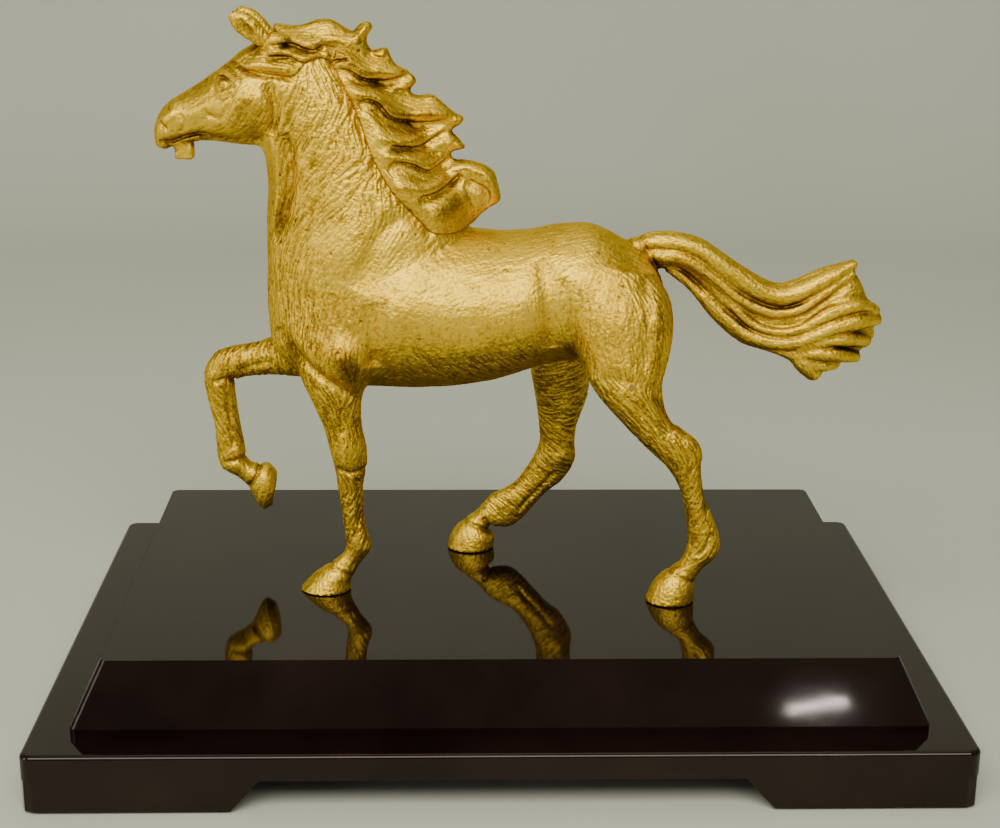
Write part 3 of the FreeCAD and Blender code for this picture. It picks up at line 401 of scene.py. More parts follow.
def profile_distance(field, window, points):
    """Distances in the side view from the lattice to a polyline, positive on its left, and how
    far along it they fall."""
    x = field.axis(0, window[0])[:, None]
    z = field.axis(2, window[2])[None, :]
    nearest = np.full((x.size, z.size), np.inf)
    along = np.zeros_like(nearest)
    left = np.ones_like(nearest)
    for number, (start, end) in enumerate(zip(points, points[1:])):
        at, gap = segment((x, z), start, end)
        turn = (end[0] - start[0]) * (z - start[1]) - (end[1] - start[1]) * (x - start[0])
        closer = gap < nearest
        nearest = np.where(closer, gap, nearest)
        left = np.where(closer, np.sign(turn), left)
        along = np.where(closer, (number + at) / (len(points) - 1), along)
    return nearest * left, along


def outline_distance(field, corners):
    """Distances in the side view to a closed outline, negative inside it."""
    closed = curved(np.array([*corners, corners[0]]), 3)
    gap, _ = profile_distance(field, (slice(None),) * 3, closed)
    x = field.axis(0)[:, None]
    z = field.axis(2)[None, :]
    inside = np.zeros(gap.shape, bool)
    for start, end in zip(closed, closed[1:]):
        spans = (start[1] > z) != (end[1] > z)
        at = start[0] + (z - start[1]) / (end[1] - start[1] + TINY) * (end[0] - start[0])
        inside ^= spans & (x < at)
    return np.where(inside, -np.abs(gap), np.abs(gap))


def press(field, points, width, depth, side=BOTH, taper=0.15, edge=1.0):
    """Presses a groove into the sides of a field along a line in the side view; a negative depth
    raises a ridge. An edge below 1 narrows the groove's left side, so that it starts abruptly."""
    line = curved(np.array(points, float))
    window = field.side_window(line, GROOVE_REACH * width, side)
    gap, along = profile_distance(field, window, line)
    amount = depth * np.exp(-(gap / np.where(gap > 0, width * edge, width)) ** 2)
    if taper:
        amount *= np.sqrt(np.clip(np.minimum(along, 1 - along) / taper, 0, 1))
    field.sink(window, amount)


def swell(field, x, z, long_radius, short_radius, tilt, height, side=BOTH):
    """Raises a rounded oval on the sides of a field; a negative height sinks it."""
    reach = SWELL_REACH * max(long_radius, short_radius)
    window = field.side_window(np.array([[x, z]]), reach, side)
    dx = field.axis(0, window[0])[:, None] - x
    dz = field.axis(2, window[2])[None, :] - z
    c, s = math.cos(math.radians(tilt)), math.sin(math.radians(tilt))
    square = ((dx * c + dz * s) / long_radius) ** 2 + ((dz * c - dx * s) / short_radius) ** 2
    field.sink(window, -height * np.exp(-square ** 1.5))


def block(field, middle, halves, rounding, blend):
    """Adds a box with rounded edges to a field."""
    window, axes = field.around(middle, halves)
    past = np.array([np.abs(a - m) - h + rounding for a, m, h in zip(axes, middle, halves)])
    gap = np.linalg.norm(np.maximum(past, 0), axis=0) + np.minimum(past.max(axis=0), 0) - rounding
    field.add(window, gap.astype(np.float32), blend)


def ball(field, middle, radii, blend):
    """Adds an ellipsoid to a field."""
    window, axes = field.around(middle, radii)
    scaled = np.sqrt(sum(((a - m) / r) ** 2 for a, m, r in zip(axes, middle, radii)))
    steep = np.sqrt(sum(((a - m) / r ** 2) ** 2 for a, m, r in zip(axes, middle, radii))) + 1e-6
    gap = scaled * (scaled - 1) / steep
    field.add(window, gap.astype(np.float32), blend)


# ---------------------------------------------------------------- sculpting the horse

# Direction and strength of the chiselled coat: distance along, height, angle above +X in degrees,
# strength from 0 to 1.
COAT = [
    (-110, 156, 20, 0.1), (-102, 161, 30, 0.12), (-95, 160, 35, 0.3), (-88, 157, 50, 0.55),
    (-83, 163, 60, 0.5), (-80, 156, 55, 0.6), (-90, 168, 30, 0.2), (-78, 170, 45, 0.5),
    (-72, 172, 80, 0.55), (-66, 168, 62, 0.9), (-70, 158, 60, 1.0), (-62, 158, 55, 1.0),
    (-54, 162, 62, 0.85), (-58, 172, 110, 0.8), (-50, 155, 105, 0.75), (-56, 146, 45, 1.0),
    (-66, 144, 48, 1.0), (-46, 146, 40, 1.0), (-66, 132, 52, 1.0), (-54, 134, 42, 0.9),
    (-42, 136, 100, 0.75), (-76, 140, 80, 0.4), (-75, 152, 80, 0.3), (-69, 142, 75, 0.2),
    (-76, 120, 85, 0.6), (-66, 120, 60, 0.75), (-54, 122, 40, 0.2), (-38, 126, 65, 0.55),
    (-30, 122, 45, 0.3), (-42, 112, 60, 0.3), (-56, 110, 65, 0.35), (-67, 108, 85, 0.8),
    (-74, 100, 95, 0.9), (-64, 98, 92, 0.8), (-54, 98, 80, 0.35), (-66, 88, 100, 1.0),
    (-58, 84, 70, 0.8), (-46, 92, 70, 0.25), (-40, 84, 60, 0.3), (-28, 100, 80, 0.15),
    (-28, 112, 30, 0.3), (-10, 110, 20, 0.3), (-10, 95, 80, 0.15), (-26, 80, 120, 0.7),
    (-8, 79, 125, 0.9), (6, 84, 130, 0.8), (8, 100, 100, 0.2), (10, 116, 20, 0.3),
    (14, 88, 120, 0.4), (24, 118, 30, 0.4), (24, 104, 100, 0.3), (34, 110, 60, 0.3),
    (36, 98, 80, 0.25), (44, 116, 150, 0.4), (46, 106, 100, 0.4), (54, 100, 92, 0.65),
    (55, 90, 85, 0.7), (46, 90, 95, 0.45), (36, 86, 110, 0.4), (28, 84, 75, 0.5),
    (48, 80, 60, 0.6), (36, 76, 140, 0.9), (44, 72, 135, 1.0), (52, 64, 130, 1.0),
    (60, 56, 120, 0.9), (66, 46, 60, 0.8), (67, 36, 60, 0.9), (69, 26, 60, 0.8),
    (66, 12, 40, 0.5), (58, 5, 100, 0.35), (26, 68, 20, 0.9), (24, 56, 10, 0.9),
    (22, 44, 150, 0.8), (16, 30, 145, 0.8), (6, 18, 140, 0.8), (-8, 6, 100, 0.35),
    (-54, 80, 120, 0.7), (-56, 72, 125, 0.9), (-50, 68, 60, 0.8), (-52, 60, 110, 1.0),
    (-51, 50, 60, 0.35), (-50, 42, 125, 0.8), (-50, 32, 55, 1.0), (-49, 22, 60, 0.9),
    (-52, 12, 60, 0.5), (-58, 5, 100, 0.35), (-84, 76, 100, 0.9), (-92, 72, 95, 0.9),
    (-99, 70, 60, 0.5), (-98, 60, 130, 0.7), (-96, 48, 125, 0.9), (-95, 38, 125, 0.6),
    (-84, 28, 60, 0.25), (60, 117, -5, 0.4), (70, 110, -45, 0.4), (80, 100, -42, 0.4),
    (90, 94, -20, 0.4), (100, 92, 10, 0.4), (110, 96, 30, 0.35), (122, 100, 25, 0.35),
    (108, 80, -60, 0.35), (120, 84, -10, 0.35),
]
MANE_COAT = [
    (-74, 188, 0, 0.45), (-60, 188, 5, 0.45), (-50, 186, -10, 0.4), (-45, 178, -20, 0.35),
    (-35, 176, -15, 0.35), (-45, 168, -25, 0.35), (-30, 165, 0, 0.3), (-18, 162, -15, 0.3),
    (-36, 158, -40, 0.35), (-25, 156, 10, 0.35), (-16, 152, 10, 0.3), (-32, 150, -15, 0.35),
    (-22, 149, 0, 0.35), (-30, 141, -20, 0.35), (-20, 141, 15, 0.35), (-8, 144, 10, 0.3),
    (-24, 131, -10, 0.3), (-10, 134, 10, 0.25), (-20, 126, 0, 0.3),
]
# How softly neighbouring marks of the coat blend, in square millimetres.
COAT_BLEND = 14.0
# Strokes: depth, spacing, length and number of the smearing steps each way, and contrast.
HAIR_DEPTH = 0.20
HAIR_CELL = 0.34
HAIR_STEP = 0.45
HAIR_STEPS = 4
HAIR_CONTRAST = 2.2
BROAD_SHARE = 0.6
# Fine grain where the coat is smooth, and shallow dents everywhere.
GRAIN_DEPTH = 0.22
GRAIN_CELL = 0.62
DENT_DEPTH = 0.25
DENT_CELL = 7.0
# How much strokes and grain add to the painted shade along their grooves and dips, and how deep
# grain goes before it does.
STROKE_SHADE = 0.42
GRAIN_SHADE = 0.3
GRAIN_START = 0.1
# Distances at which nearby metal shades a point, each with its weight.
SHADE_REACHES = ((1.2, 0.35), (2.4, 0.35), (4.2, 0.30))
CHUNK = 50000
LATTICE_SIDE = 48

rng = np.random.default_rng(SEED)
LATTICE = rng.random((LATTICE_SIDE,) * 3).astype(np.float32)


def noise(points, cell, shift=0.0):
    """Smooth random values from 0 to 1 that change over about a cell."""
    place = points / cell + shift
    whole = np.floor(place).astype(int)
    part = (place - whole).astype(np.float32)
    return trilinear(LATTICE, whole, part * part * (3 - 2 * part))


def coat(points, marks):
    """Direction along the coat in the side view, as cosine and sine, and its strength."""
    table = np.array(marks, np.float32)
    doubled = np.radians(2 * table[:, 2])
    rows = np.stack([np.cos(doubled), np.sin(doubled), table[:, 3], np.ones(len(table))], 1)
    total = np.zeros((len(points), 4), np.float32)
    for start in range(0, len(points), CHUNK):
        part = points[start:start + CHUNK, None, :]
        square = (part[..., 0] - table[:, 0]) ** 2 + (part[..., 2] - table[:, 1]) ** 2
        weights = 1 / (square + COAT_BLEND) ** 2
        total[start:start + CHUNK] = weights @ rows
    angle = np.arctan2(total[:, 1], total[:, 0]) / 2
    return np.cos(angle), np.sin(angle), total[:, 2] / total[:, 3]


def corner_normals(points, quads):
    """Unit normals at the corners of a quad mesh, pointing outwards."""
    faces = np.cross(points[quads[:, 2]] - points[quads[:, 0]],
                     points[quads[:, 3]] - points[quads[:, 1]])
    normals = np.zeros_like(points)
    for axis in range(3):
        for corner in range(4):
            normals[:, axis] += np.bincount(quads[:, corner], faces[:, axis], len(points))
    return normals / (np.linalg.norm(normals, axis=1, keepdims=True) + TINY)


def surface(field):
    """A quad mesh of a field's surface, wound so that its normals point outwards."""
    grid = vdb.FloatGrid(BAND)
    grid.transform = vdb.createLinearTransform(VOXEL)
    grid.copyFromArray(field.values, ijk=tuple(int(n) for n in field.low))
    points, quads = grid.convertToQuads(0.0)
    points = points.astype(np.float64)
    quads = quads.astype(np.int64)
    normals = corner_normals(points, quads)
    if np.mean(field.sample(points + normals * VOXEL)) < 0:
        quads = quads[:, ::-1]
        normals = -normals
    return points, quads, normals


def crowding(field, points, normals):
    """How much nearby metal shades each point, from 0 in the open to 1 in a deep cleft."""
    shade = np.zeros(len(points), np.float32)
    for reach, weight in SHADE_REACHES:
        clear = field.sample(points + normals * reach)
        shade += weight * np.clip(1 - clear / reach, 0, 1)
    return shade


def chisel(points, normals, marks):
    """Height of the chiselled coat at each point, about -1 to 1. The strokes are smears of random
    spots along the coat's direction, less their wider surroundings."""
    height = noise(points, HAIR_CELL)
    broad = noise(points, 4 * HAIR_CELL, 3.7)
    for way in (-1, 1):
        place = points.copy()
        for _ in range(HAIR_STEPS):
            across, up, _ = coat(place, marks)
            ahead = np.stack([across, np.zeros_like(across), up], 1)
            ahead = ahead - normals * np.sum(ahead * normals, axis=1, keepdims=True)
            ahead /= np.linalg.norm(ahead, axis=1, keepdims=True) + 1e-6
            place = place + ahead * (way * HAIR_STEP)
            height += noise(place, HAIR_CELL)
    height = (height - height.mean()) / height.std() + BROAD_SHARE * (broad - 0.5)
    return np.tanh(height * HAIR_CONTRAST)


# How softly the forms run into each other.
TRUNK_BLEND = 1.0
LIMB_BLEND = 4.0
TAIL_BLEND = 1.5
LOCK_BLEND = 1.0
EAR_BLEND = 1.0


def sculpt_body():
    """Trunk, neck, head, legs and tail as one field."""
    body = Field(*BODY_BOX)
    tube(body, TRUNK, TRUNK_BLEND)
    for limb in (NEAR_FORELEG, OFF_FORELEG, NEAR_HINDLEG, OFF_HINDLEG):
        tube(body, limb, LIMB_BLEND)
    shape_trunk(body)
    shape_legs(body)
    shape_head(body)
    tube(body, TAIL_CORE, TAIL_BLEND)
    for side in (NEAR, OFF):
        for points in TAIL_LOCKS:
            lock(body, points, side, LOCK_BLEND)
    # where the tail leaves the rump
    press(body, [(46.5, 122.5), (49.5, 118), (52.5, 113), (54.5, 108)], 1.1, 0.7, taper=0)
    return body


# Swellings: distance along, height, long and short radius, tilt in degrees, height raised, and the
# side unless it is both. Grooves: points in the side view, width, depth, and where they differ from
# the usual, side, taper and edge. A negative height sinks and a negative depth raises.
TRUNK_SWELLS = [
    # shoulder blade, upper arm and elbow
    (-52, 114, 20, 12, 60, 1.4),
    (-34, 108, 16, 9, 70, 0.8),
    (-58, 92, 12, 8, 140, 1.4),
    (-50, 82.5, 8.5, 6.5, 115, 2.8, NEAR),
    # ribs, belly and flank
    (-12, 96, 26, 13, 0, 1.2),
    # haunch
    (33, 104, 17, 12, 80, 1.2),
    (52, 97, 13, 5, 95, 1.2),
]
TRUNK_GROOVES = [
    # shoulder blade, upper arm and elbow
    ([(-27, 132), (-33, 130.5), (-39.5, 125.5), (-43, 119), (-47, 108)], 3.2, 1),
    ([(-43, 104), (-42, 95), (-42.2, 87), (-42.6, 82)], 2.2, 1.5),
    ([(-74, 93), (-66, 85.5), (-60, 80), (-54, 75.4), (-48.5, 71.5)], 2.4, 2, NEAR, 0.3, 0.6),
    # the mane's lower border
    ([(-56, 182), (-51, 172.5), (-46, 161.5), (-42.5, 151.5), (-37, 141.5), (-31.5, 135),
     (-26.5, 129), (-22, 125)], 2.2, 1, BOTH, 0.05),
    # ribs, belly and flank
    ([(14, 118), (15.5, 108), (16.5, 98), (17, 88)], 3.4, 1.4),
    ([(-41, 88), (-38, 80), (-34, 76)], 2.4, 0.8),
    # haunch
    ([(47, 112), (48.5, 104), (48.5, 92), (46, 82)], 2.4, 0.7),
    ([(20, 112), (23, 101), (27, 90), (31, 80)], 2.6, 0.9),
]
LEG_SWELLS = {
    NEAR: [
        # foreleg
        (-51, 50.5, 3, 4.6, 0, 0.9),
        # hindleg
        (64, 56.5, 3.2, 2.6, -40, 0.8),
    ],
    OFF: [
        # hindleg
        (25, 36, 3, 4.5, -60, 0.8),
    ],
}
LEG_GROOVES = {
    NEAR: [
        # foreleg
        ([(-52.6, 68), (-52.8, 63), (-53, 57)], 1.3, 0.8),
        ([(-55, 45.6), (-51, 44), (-45, 45)], 0.9, 0.7),
        ([(-48.6, 42), (-48, 33), (-47.3, 24)], 0.9, 0.7),
        ([(-61.5, 10.5), (-56, 8.6), (-50.5, 5.6)], 0.7, 0.5),
        # hindleg
        ([(33, 82), (38, 80), (46, 78.5), (55, 77)], 2.4, 0.5),
        ([(40, 75), (48, 67), (58, 59.5)], 1.2, 0.8),
        ([(50, 74), (55, 67), (58.6, 62)], 1.4, 0.9),
        ([(66.8, 53), (68.3, 42), (70.2, 31)], 0.9, 0.8),
        ([(71.5, 26), (70.5, 21), (67, 17.5)], 0.8, 0.6),
        ([(56.5, 12.5), (62, 9.5), (67.5, 7)], 0.7, 0.5),
    ],
    OFF: [
        # foreleg
        ([(-78, 76), (-85, 73.5), (-91, 71)], 1.3, 0.6),
        ([(-92, 66.5), (-95.5, 67.6), (-100, 66.4)], 1.1, 0.9),
        ([(-95.5, 62), (-94.5, 50), (-93.5, 41)], 1, 0.7),
        ([(-97.5, 36.2), (-93.5, 37), (-89, 38.2)], 0.9, 0.7),
        ([(-88.8, 27), (-86, 31), (-84.6, 35.5)], 0.8, 0.9),
        # hindleg
        ([(24, 66), (22.5, 56), (22, 48)], 1.6, 0.7),
        ([(22, 31), (14, 22), (8, 15)], 1, 0.8),
        ([(-4.5, 12.6), (-2.5, 10), (-1, 8)], 0.9, 1),
        ([(-12.5, 11.2), (-7, 9.4), (-1.6, 6.6)], 0.7, 0.5),
    ],
}
HEAD_SWELLS = [
    # cheek, jaw and throat
    (-82.8, 165, 9.4, 9.2, 0, 2.8),
    # face bones
    (-98, 164.6, 5.5, 2.2, 25, 0.9),
    (-99, 170.6, 7, 1.8, 32, -0.6),
    # eye socket and brow
    (-88.8, 173.4, 4.6, 3.4, 25, -0.9),
    (-84.6, 181, 3.4, 2, 40, 1),
    # nostril
    (-108.6, 162, 3, 1.6, 40, 0.8),
]
HEAD_GROOVES = [
    # cheek, jaw and throat
    ([(-75.4, 174), (-73.6, 168.5), (-73.4, 163), (-75, 157)], 1.8, 1.8),
    ([(-77, 155.6), (-85, 155.4), (-93, 155.8), (-99, 155.4)], 1.3, 1.2),
    ([(-70.5, 157.5), (-69, 152.5), (-68.5, 144), (-70, 134), (-73.5, 121)], 2.1, 2),
    ([(-74.6, 156), (-73.4, 147), (-73.4, 137), (-75.8, 125)], 1.9, -1.2),
    ([(-97, 165.2), (-94.6, 163), (-92, 162.4), (-89.8, 163.4), (-88, 166.2),
     (-86, 171.6)], 0.9, 0.8),
]
FACE_GROOVES = [
    # lids, brow and folds above the eye
    ([(-92.2, 175.8), (-90.2, 176.2), (-87.6, 175), (-84.8, 173.2)], 0.8, -0.9),
    ([(-91.6, 174.6), (-89.8, 174.8), (-87.8, 173.8), (-86, 172.6)], 0.6, 0.4),
    ([(-92.6, 173), (-91.2, 171.4), (-89.2, 171), (-86.6, 171.8)], 0.6, -0.8),
    ([(-93.6, 171.6), (-92, 169.4), (-89.8, 168.8), (-86.8, 170.4)], 0.6, 0.8),
    ([(-91.2, 178), (-88.8, 177.6), (-86.2, 176.2), (-83.8, 175.2)], 0.6, 0.8),
    ([(-89.6, 179), (-86, 179), (-83, 177.6), (-77, 176.2), (-70.5, 175.4), (-67, 174.6)], 1, 1.2),
    # mouth, nostril and lips
    ([(-112, 154), (-108.5, 153.6), (-105, 155), (-99.5, 156.4), (-95, 156.6)], 0.8, 1.7),
    ([(-111.6, 160.8), (-110.4, 159), (-109, 157.8)], 0.7, 0.9),
    ([(-105.6, 156.6), (-103, 159.5), (-104.4, 163)], 0.8, 0.5),
]
EYE = (-89.2, 173.2)
EYE_SINK = 0.9
EYE_RADII = (1.9, 1.4, 1.1)
EYE_BLEND = 0.6
UPPER_LIP = ((-111.4, 0, 152.8), (2.2, 3.4, 1.7))
UPPER_LIP_BLEND = 1.6
CHIN = ((-104.6, 0, 150.1), (3.1, 2.6, 2.7))
CHIN_ROUNDING = 0.9
CHIN_BLEND = 1.6
EAR_HOLLOW = [(-79.4, 11.0, 188.2, 0.8), (-82.6, 11.9, 190.9, 2.2), (-85.6, 11.6, 194.0, 1.3)]
EAR_HOLLOW_BLEND = 0.4
EAR_RIDGE = ([(-79.8, 188.6), (-82.8, 191.6), (-86.0, 194.8)], 0.5, -0.5)


def shape_trunk(body):
    """The large forms and creases of neck, barrel and haunches."""
    for swelling in TRUNK_SWELLS:
        swell(body, *swelling)
    for groove in TRUNK_GROOVES:
        press(body, *groove)


def shape_legs(body):
    """Muscles, joints and sinews of the legs."""
    for side in (NEAR, OFF):
        for swelling in LEG_SWELLS[side]:
            swell(body, *swelling, side)
        for groove in LEG_GROOVES[side]:
            press(body, *groove, side)


def shape_head(body):
    """Cheeks, throat, eyes, nostrils, mouth, chin and ears."""
    for swelling in HEAD_SWELLS:
        swell(body, *swelling)
    for groove in HEAD_GROOVES:
        press(body, *groove)
    for side in (NEAR, OFF):
        skin = skin_side(body, *EYE, side)
        ball(body, (EYE[0], side * (skin - EYE_SINK), EYE[1]), EYE_RADII, EYE_BLEND)
    for groove in FACE_GROOVES:
        press(body, *groove)
    ball(body, *UPPER_LIP, UPPER_LIP_BLEND)
    block(body, *CHIN, CHIN_ROUNDING, CHIN_BLEND)
    for side in (NEAR, OFF):
        tube(body, [station._replace(side=side * station.side) for station in EAR], EAR_BLEND)
        lock(body, EAR_HOLLOW, side, EAR_HOLLOW_BLEND, hollow=True)
    press(body, *EAR_RIDGE)


def finish_skin(field, marks):
    """A field's surface with the chiselled coat cut into it, and painted shade at each point."""
    points, quads, normals = surface(field)
    shade = crowding(field, points, normals)
    _, _, strength = coat(points, marks)
    strokes = chisel(points, normals, marks)
    dents = noise(points, DENT_CELL, 5.3) - 0.5
    grain = noise(points, GRAIN_CELL, 9.1) - 0.5
    smooth = 1 - strength
    height = HAIR_DEPTH * strength * strokes + DENT_DEPTH * dents + GRAIN_DEPTH * smooth * grain
    points = points + normals * height[:, None]
    # painted shade: darker where nearby metal shades a point, along the strokes' grooves and in the
    # grain's dips
    painted_shade = np.clip(shade + STROKE_SHADE * strength * np.clip(-strokes, 0, 1)
                      + GRAIN_SHADE * smooth * np.clip(-grain - GRAIN_START, 0, 1), 0, 1)
    return points, quads, painted_shade


# The planes between the castings: a point and the outward direction of each, and the boxes that
# hold the casting beyond it.
CUTS = {
    "neck_and_head_casting": ((-44, 0, 109.5), (-31, 0, 68), [((-125, -40, 80), (20, 40, 210))]),
    "near_foreleg_casting": ((-54, -15, 66), (0, 0, -1), [((-74, -28, -3), (-38, -4, 70))]),
    "off_foreleg_casting": ((-79.5, 14, 75.8), (-12.5, 0, -3), [((-112, 4, 8), (-74, 30, 92))]),
    "near_hindleg_casting": ((43, -24, 74), (0, 0, -1), [((20, -42, -3), (82, -10, 77))]),
    "off_hindleg_casting": ((22, 20, 70), (0, 0, -1), [((6, 7, 38), (44, 36, 72)),
                                                      ((-24, 7, -3), (44, 36, 46))]),
    "tail_casting": ((56.7, 0, 116), (12.5, 0, 0.6), [((50, -12, 102), (66, 12, 130)),
                                                     ((62, -16, 68), (140, 16, 130))]),
}


# Faces this close to a plane are the ones that it may cut.
CUT_REACH = 2.0
CUT_SNAP = 1e-6


def in_boxes(centres, boxes):
    """Which centres lie in any of the boxes."""
    inside = np.zeros(len(centres), bool)
    for low, high in boxes:
        inside |= np.all((centres > low) & (centres < high), axis=1)
    return inside


def placed(name, data):
    """A new object in the scene."""
    item = bpy.data.objects.new(name, data)
    bpy.context.scene.collection.objects.link(item)
    return item


def mesh_object(name, points, faces, values):
    """An object from points in the horse's millimetres, with painted shade for each point."""
    mesh = bpy.data.meshes.new(name)
    mesh.vertices.add(len(points))
    mesh.vertices.foreach_set("co", (points * MM + HORSE_ORIGIN).astype(np.float32).ravel())
    sizes = np.array([len(face) for face in faces])
    mesh.loops.add(int(sizes.sum()))
    mesh.loops.foreach_set("vertex_index", np.concatenate(faces).astype(np.int32))
    mesh.polygons.add(len(faces))
    starts = np.concatenate([[0], np.cumsum(sizes)[:-1]])
    mesh.polygons.foreach_set("loop_start", starts.astype(np.int32))
    mesh.update(calc_edges=True)
    mesh.validate()
    attribute = mesh.attributes.new("painted_shade", "FLOAT", "POINT")
    attribute.data.foreach_set("value", np.asarray(values, np.float32))
    return placed(name, mesh)


def split_castings(points, quads, painted_shade):
    """Cuts the horse's skin at the joint planes into one closed object for each casting."""
    whole = mesh_object("horse_skin", points, list(quads), painted_shade)
    shell = bmesh.new()
    shell.from_mesh(whole.data)
    bpy.data.objects.remove(whole)
    layer = shell.verts.layers.float["painted_shade"]
    for place, outward, boxes in CUTS.values():
        shell.faces.ensure_lookup_table()
        centres = face_centres(shell)
        gaps = (centres - place) @ (np.array(outward) / np.linalg.norm(outward))
        near = np.abs(gaps) < CUT_REACH
        chosen = [shell.faces[n] for n in np.nonzero(near & in_boxes(centres, boxes))[0]]
        around = {edge for face in chosen for edge in face.edges}
        corners = {vert for face in chosen for vert in face.verts}
        bmesh.ops.bisect_plane(
            shell, geom=[*corners, *around, *chosen], dist=CUT_SNAP,
            plane_co=Vector(place) * MM + Vector(HORSE_ORIGIN), plane_no=Vector(outward))
    shell.verts.index_update()
    coordinates = np.array([vert.co for vert in shell.verts])
    values = np.array([vert[layer] for vert in shell.verts])
    faces = [np.array([vert.index for vert in face.verts]) for face in shell.faces]
    centres = face_centres(shell)
    shell.free()
    coordinates = (coordinates - HORSE_ORIGIN) / MM
    owner = np.zeros(len(faces), int)
    names = ["torso_casting", *CUTS]
    for number, (place, outward, boxes) in enumerate(CUTS.values(), start=1):
        beyond = (centres - place) @ np.array(outward, float) > 0
        owner[beyond & in_boxes(centres, boxes)] = number
    pieces = {}
    for number, name in enumerate(names):
        own = [faces[n] for n in np.nonzero(owner == number)[0]]
        used = np.unique(np.concatenate(own))
        renumber = np.full(len(coordinates), -1)
        renumber[used] = np.arange(len(used))
        pieces[name] = mesh_object(name.replace("casting", "bronze"), coordinates[used],
                                   [renumber[face] for face in own], values[used])
        close_ends(pieces[name])
    return pieces


def face_centres(shell):
    """The middles of a bmesh's faces in the horse's millimetres."""
    centres = np.array([face.calc_center_median() for face in shell.faces])
    return (centres - HORSE_ORIGIN) / MM


def close_ends(piece):
    """Caps each open end with one flat face and shades the rest smooth."""
    shell = bmesh.new()
    shell.from_mesh(piece.data)
    for face in shell.faces:
        face.smooth = True
    rims = [edge for edge in shell.edges if len(edge.link_faces) == 1]
    if rims:
        for face in bmesh.ops.edgeloop_fill(shell, edges=rims)["faces"]:
            face.smooth = False
        for edge in rims:
            edge.smooth = False
    bmesh.ops.recalc_face_normals(shell, faces=shell.faces)
    shell.to_mesh(piece.data)
    shell.free()


def sculpt_mane(body):
    """The mane as a field of its own, seated on the neck."""
    mane = Field(*MANE_BOX)
    start = mane.low - body.low
    below = tuple(slice(int(a), int(a + n)) for a, n in zip(start, mane.shape))
    neck = body.values[below]
    border = outline_distance(mane, MANE_OUTLINE)[:, None, :]
    rise = 1 - np.exp(np.minimum(border, 0) / MANE_EASE)
    plate = np.abs(mane.axis(1))[None, :, None] - MANE_RIM - (MANE_CORE - MANE_RIM) * rise
    layer = neck - MANE_STEP - (MANE_LIFT - MANE_STEP) * rise
    mane.values = merge(layer, plate, MANE_BLEND).astype(np.float32)
    for points, width, height in MANE_ROLLS:
        press(mane, points, width, -height)
    for points, width, depth in MANE_FOLDS:
        press(mane, points, width, depth, edge=FOLD_EDGE)
    mane.values = merge(mane.values, neck - MANE_STEP, FLOOR_BLEND)
    mane.values = -merge(-mane.values, -border, BORDER_BLEND).astype(np.float32)
    mane.values = np.maximum(mane.values, -neck - MANE_SEAT)
    return mane


body = sculpt_body()
points, quads, painted_shade = finish_skin(body, COAT)
castings = split_castings(points, quads, painted_shade)
mane = sculpt_mane(body)
points, quads, painted_shade = finish_skin(mane, MANE_COAT)
castings["mane_casting"] = mesh_object("mane_bronze", points, list(quads), painted_shade)
close_ends(castings["mane_casting"])
for node, piece in castings.items():
    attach(piece, "root")
    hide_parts(node)


# ---------------------------------------------------------------- materials

class Nodes:
    """Short calls that build a material's node tree."""

    def __init__(self, name):
        self.material = bpy.data.materials.new(name)
        self.material.use_nodes = True
        self.tree = self.material.node_tree
        self.shader = self.tree.nodes["Principled BSDF"]
        self.place = self.add("ShaderNodeTexCoord").outputs["Object"]

    def add(self, kind, inputs=(), **settings):
        """A node with its settings and inputs; an input is a value or another node's output."""
        node = self.tree.nodes.new(kind)
        for key, value in settings.items():
            setattr(node, key, value)
        for key, value in dict(inputs).items():
            self.join(node.inputs[key], value)
        return node

    def join(self, socket, value):
        """Sets a socket, or links it."""
        if isinstance(value, bpy.types.NodeSocket):
            self.tree.links.new(value, socket)
        else:
            socket.default_value = value

    def noise(self, scale, detail=3.0, rough=0.5):
        """Noise with its features given in cycles per metre."""
        return self.add("ShaderNodeTexNoise", {
            "Vector": self.place, "Scale": scale, "Detail": detail, "Roughness": rough,
        }).outputs["Fac"]

    def ramp(self, factor, *stops):
        """A ramp through (position, colour) stops."""
        node = self.add("ShaderNodeValToRGB", {"Fac": factor})
        ramp = node.color_ramp
        while len(ramp.elements) < len(stops):
            ramp.elements.new(0.5)
        for element, (position, colour) in zip(ramp.elements, stops):
            element.position = position
            element.color = (*colour, 1)
        return node.outputs["Color"]

    def darken(self, colour, shade):
        """One colour multiplied by another."""
        node = self.add("ShaderNodeMix", data_type="RGBA", blend_type="MULTIPLY")
        for key, value in ((0, 1.0), (6, colour), (7, shade)):
            self.join(node.inputs[key], value)
        return node.outputs[2]

    def math(self, operation, first, second=0.0):
        """Two numbers put together."""
        node = self.add("ShaderNodeMath", operation=operation)
        self.join(node.inputs[0], first)
        self.join(node.inputs[1], second)
        return node.outputs[0]

    def span(self, factor, low, high):
        """A number from 0..1 spread over a range."""
        return self.add("ShaderNodeMapRange", {
            "Value": factor, "To Min": low, "To Max": high}).outputs["Result"]

    def bump(self, height, distance, strength):
        """A bump of that depth in metres."""
        return self.add("ShaderNodeBump", {
            "Height": height, "Distance": distance, "Strength": strength}).outputs["Normal"]

    def finish(self, **inputs):
        """Sets the shader's sockets by name, with _ for a space."""
        for key, value in inputs.items():
            self.join(self.shader.inputs[key.replace("_", " ")], value)
        return self.material
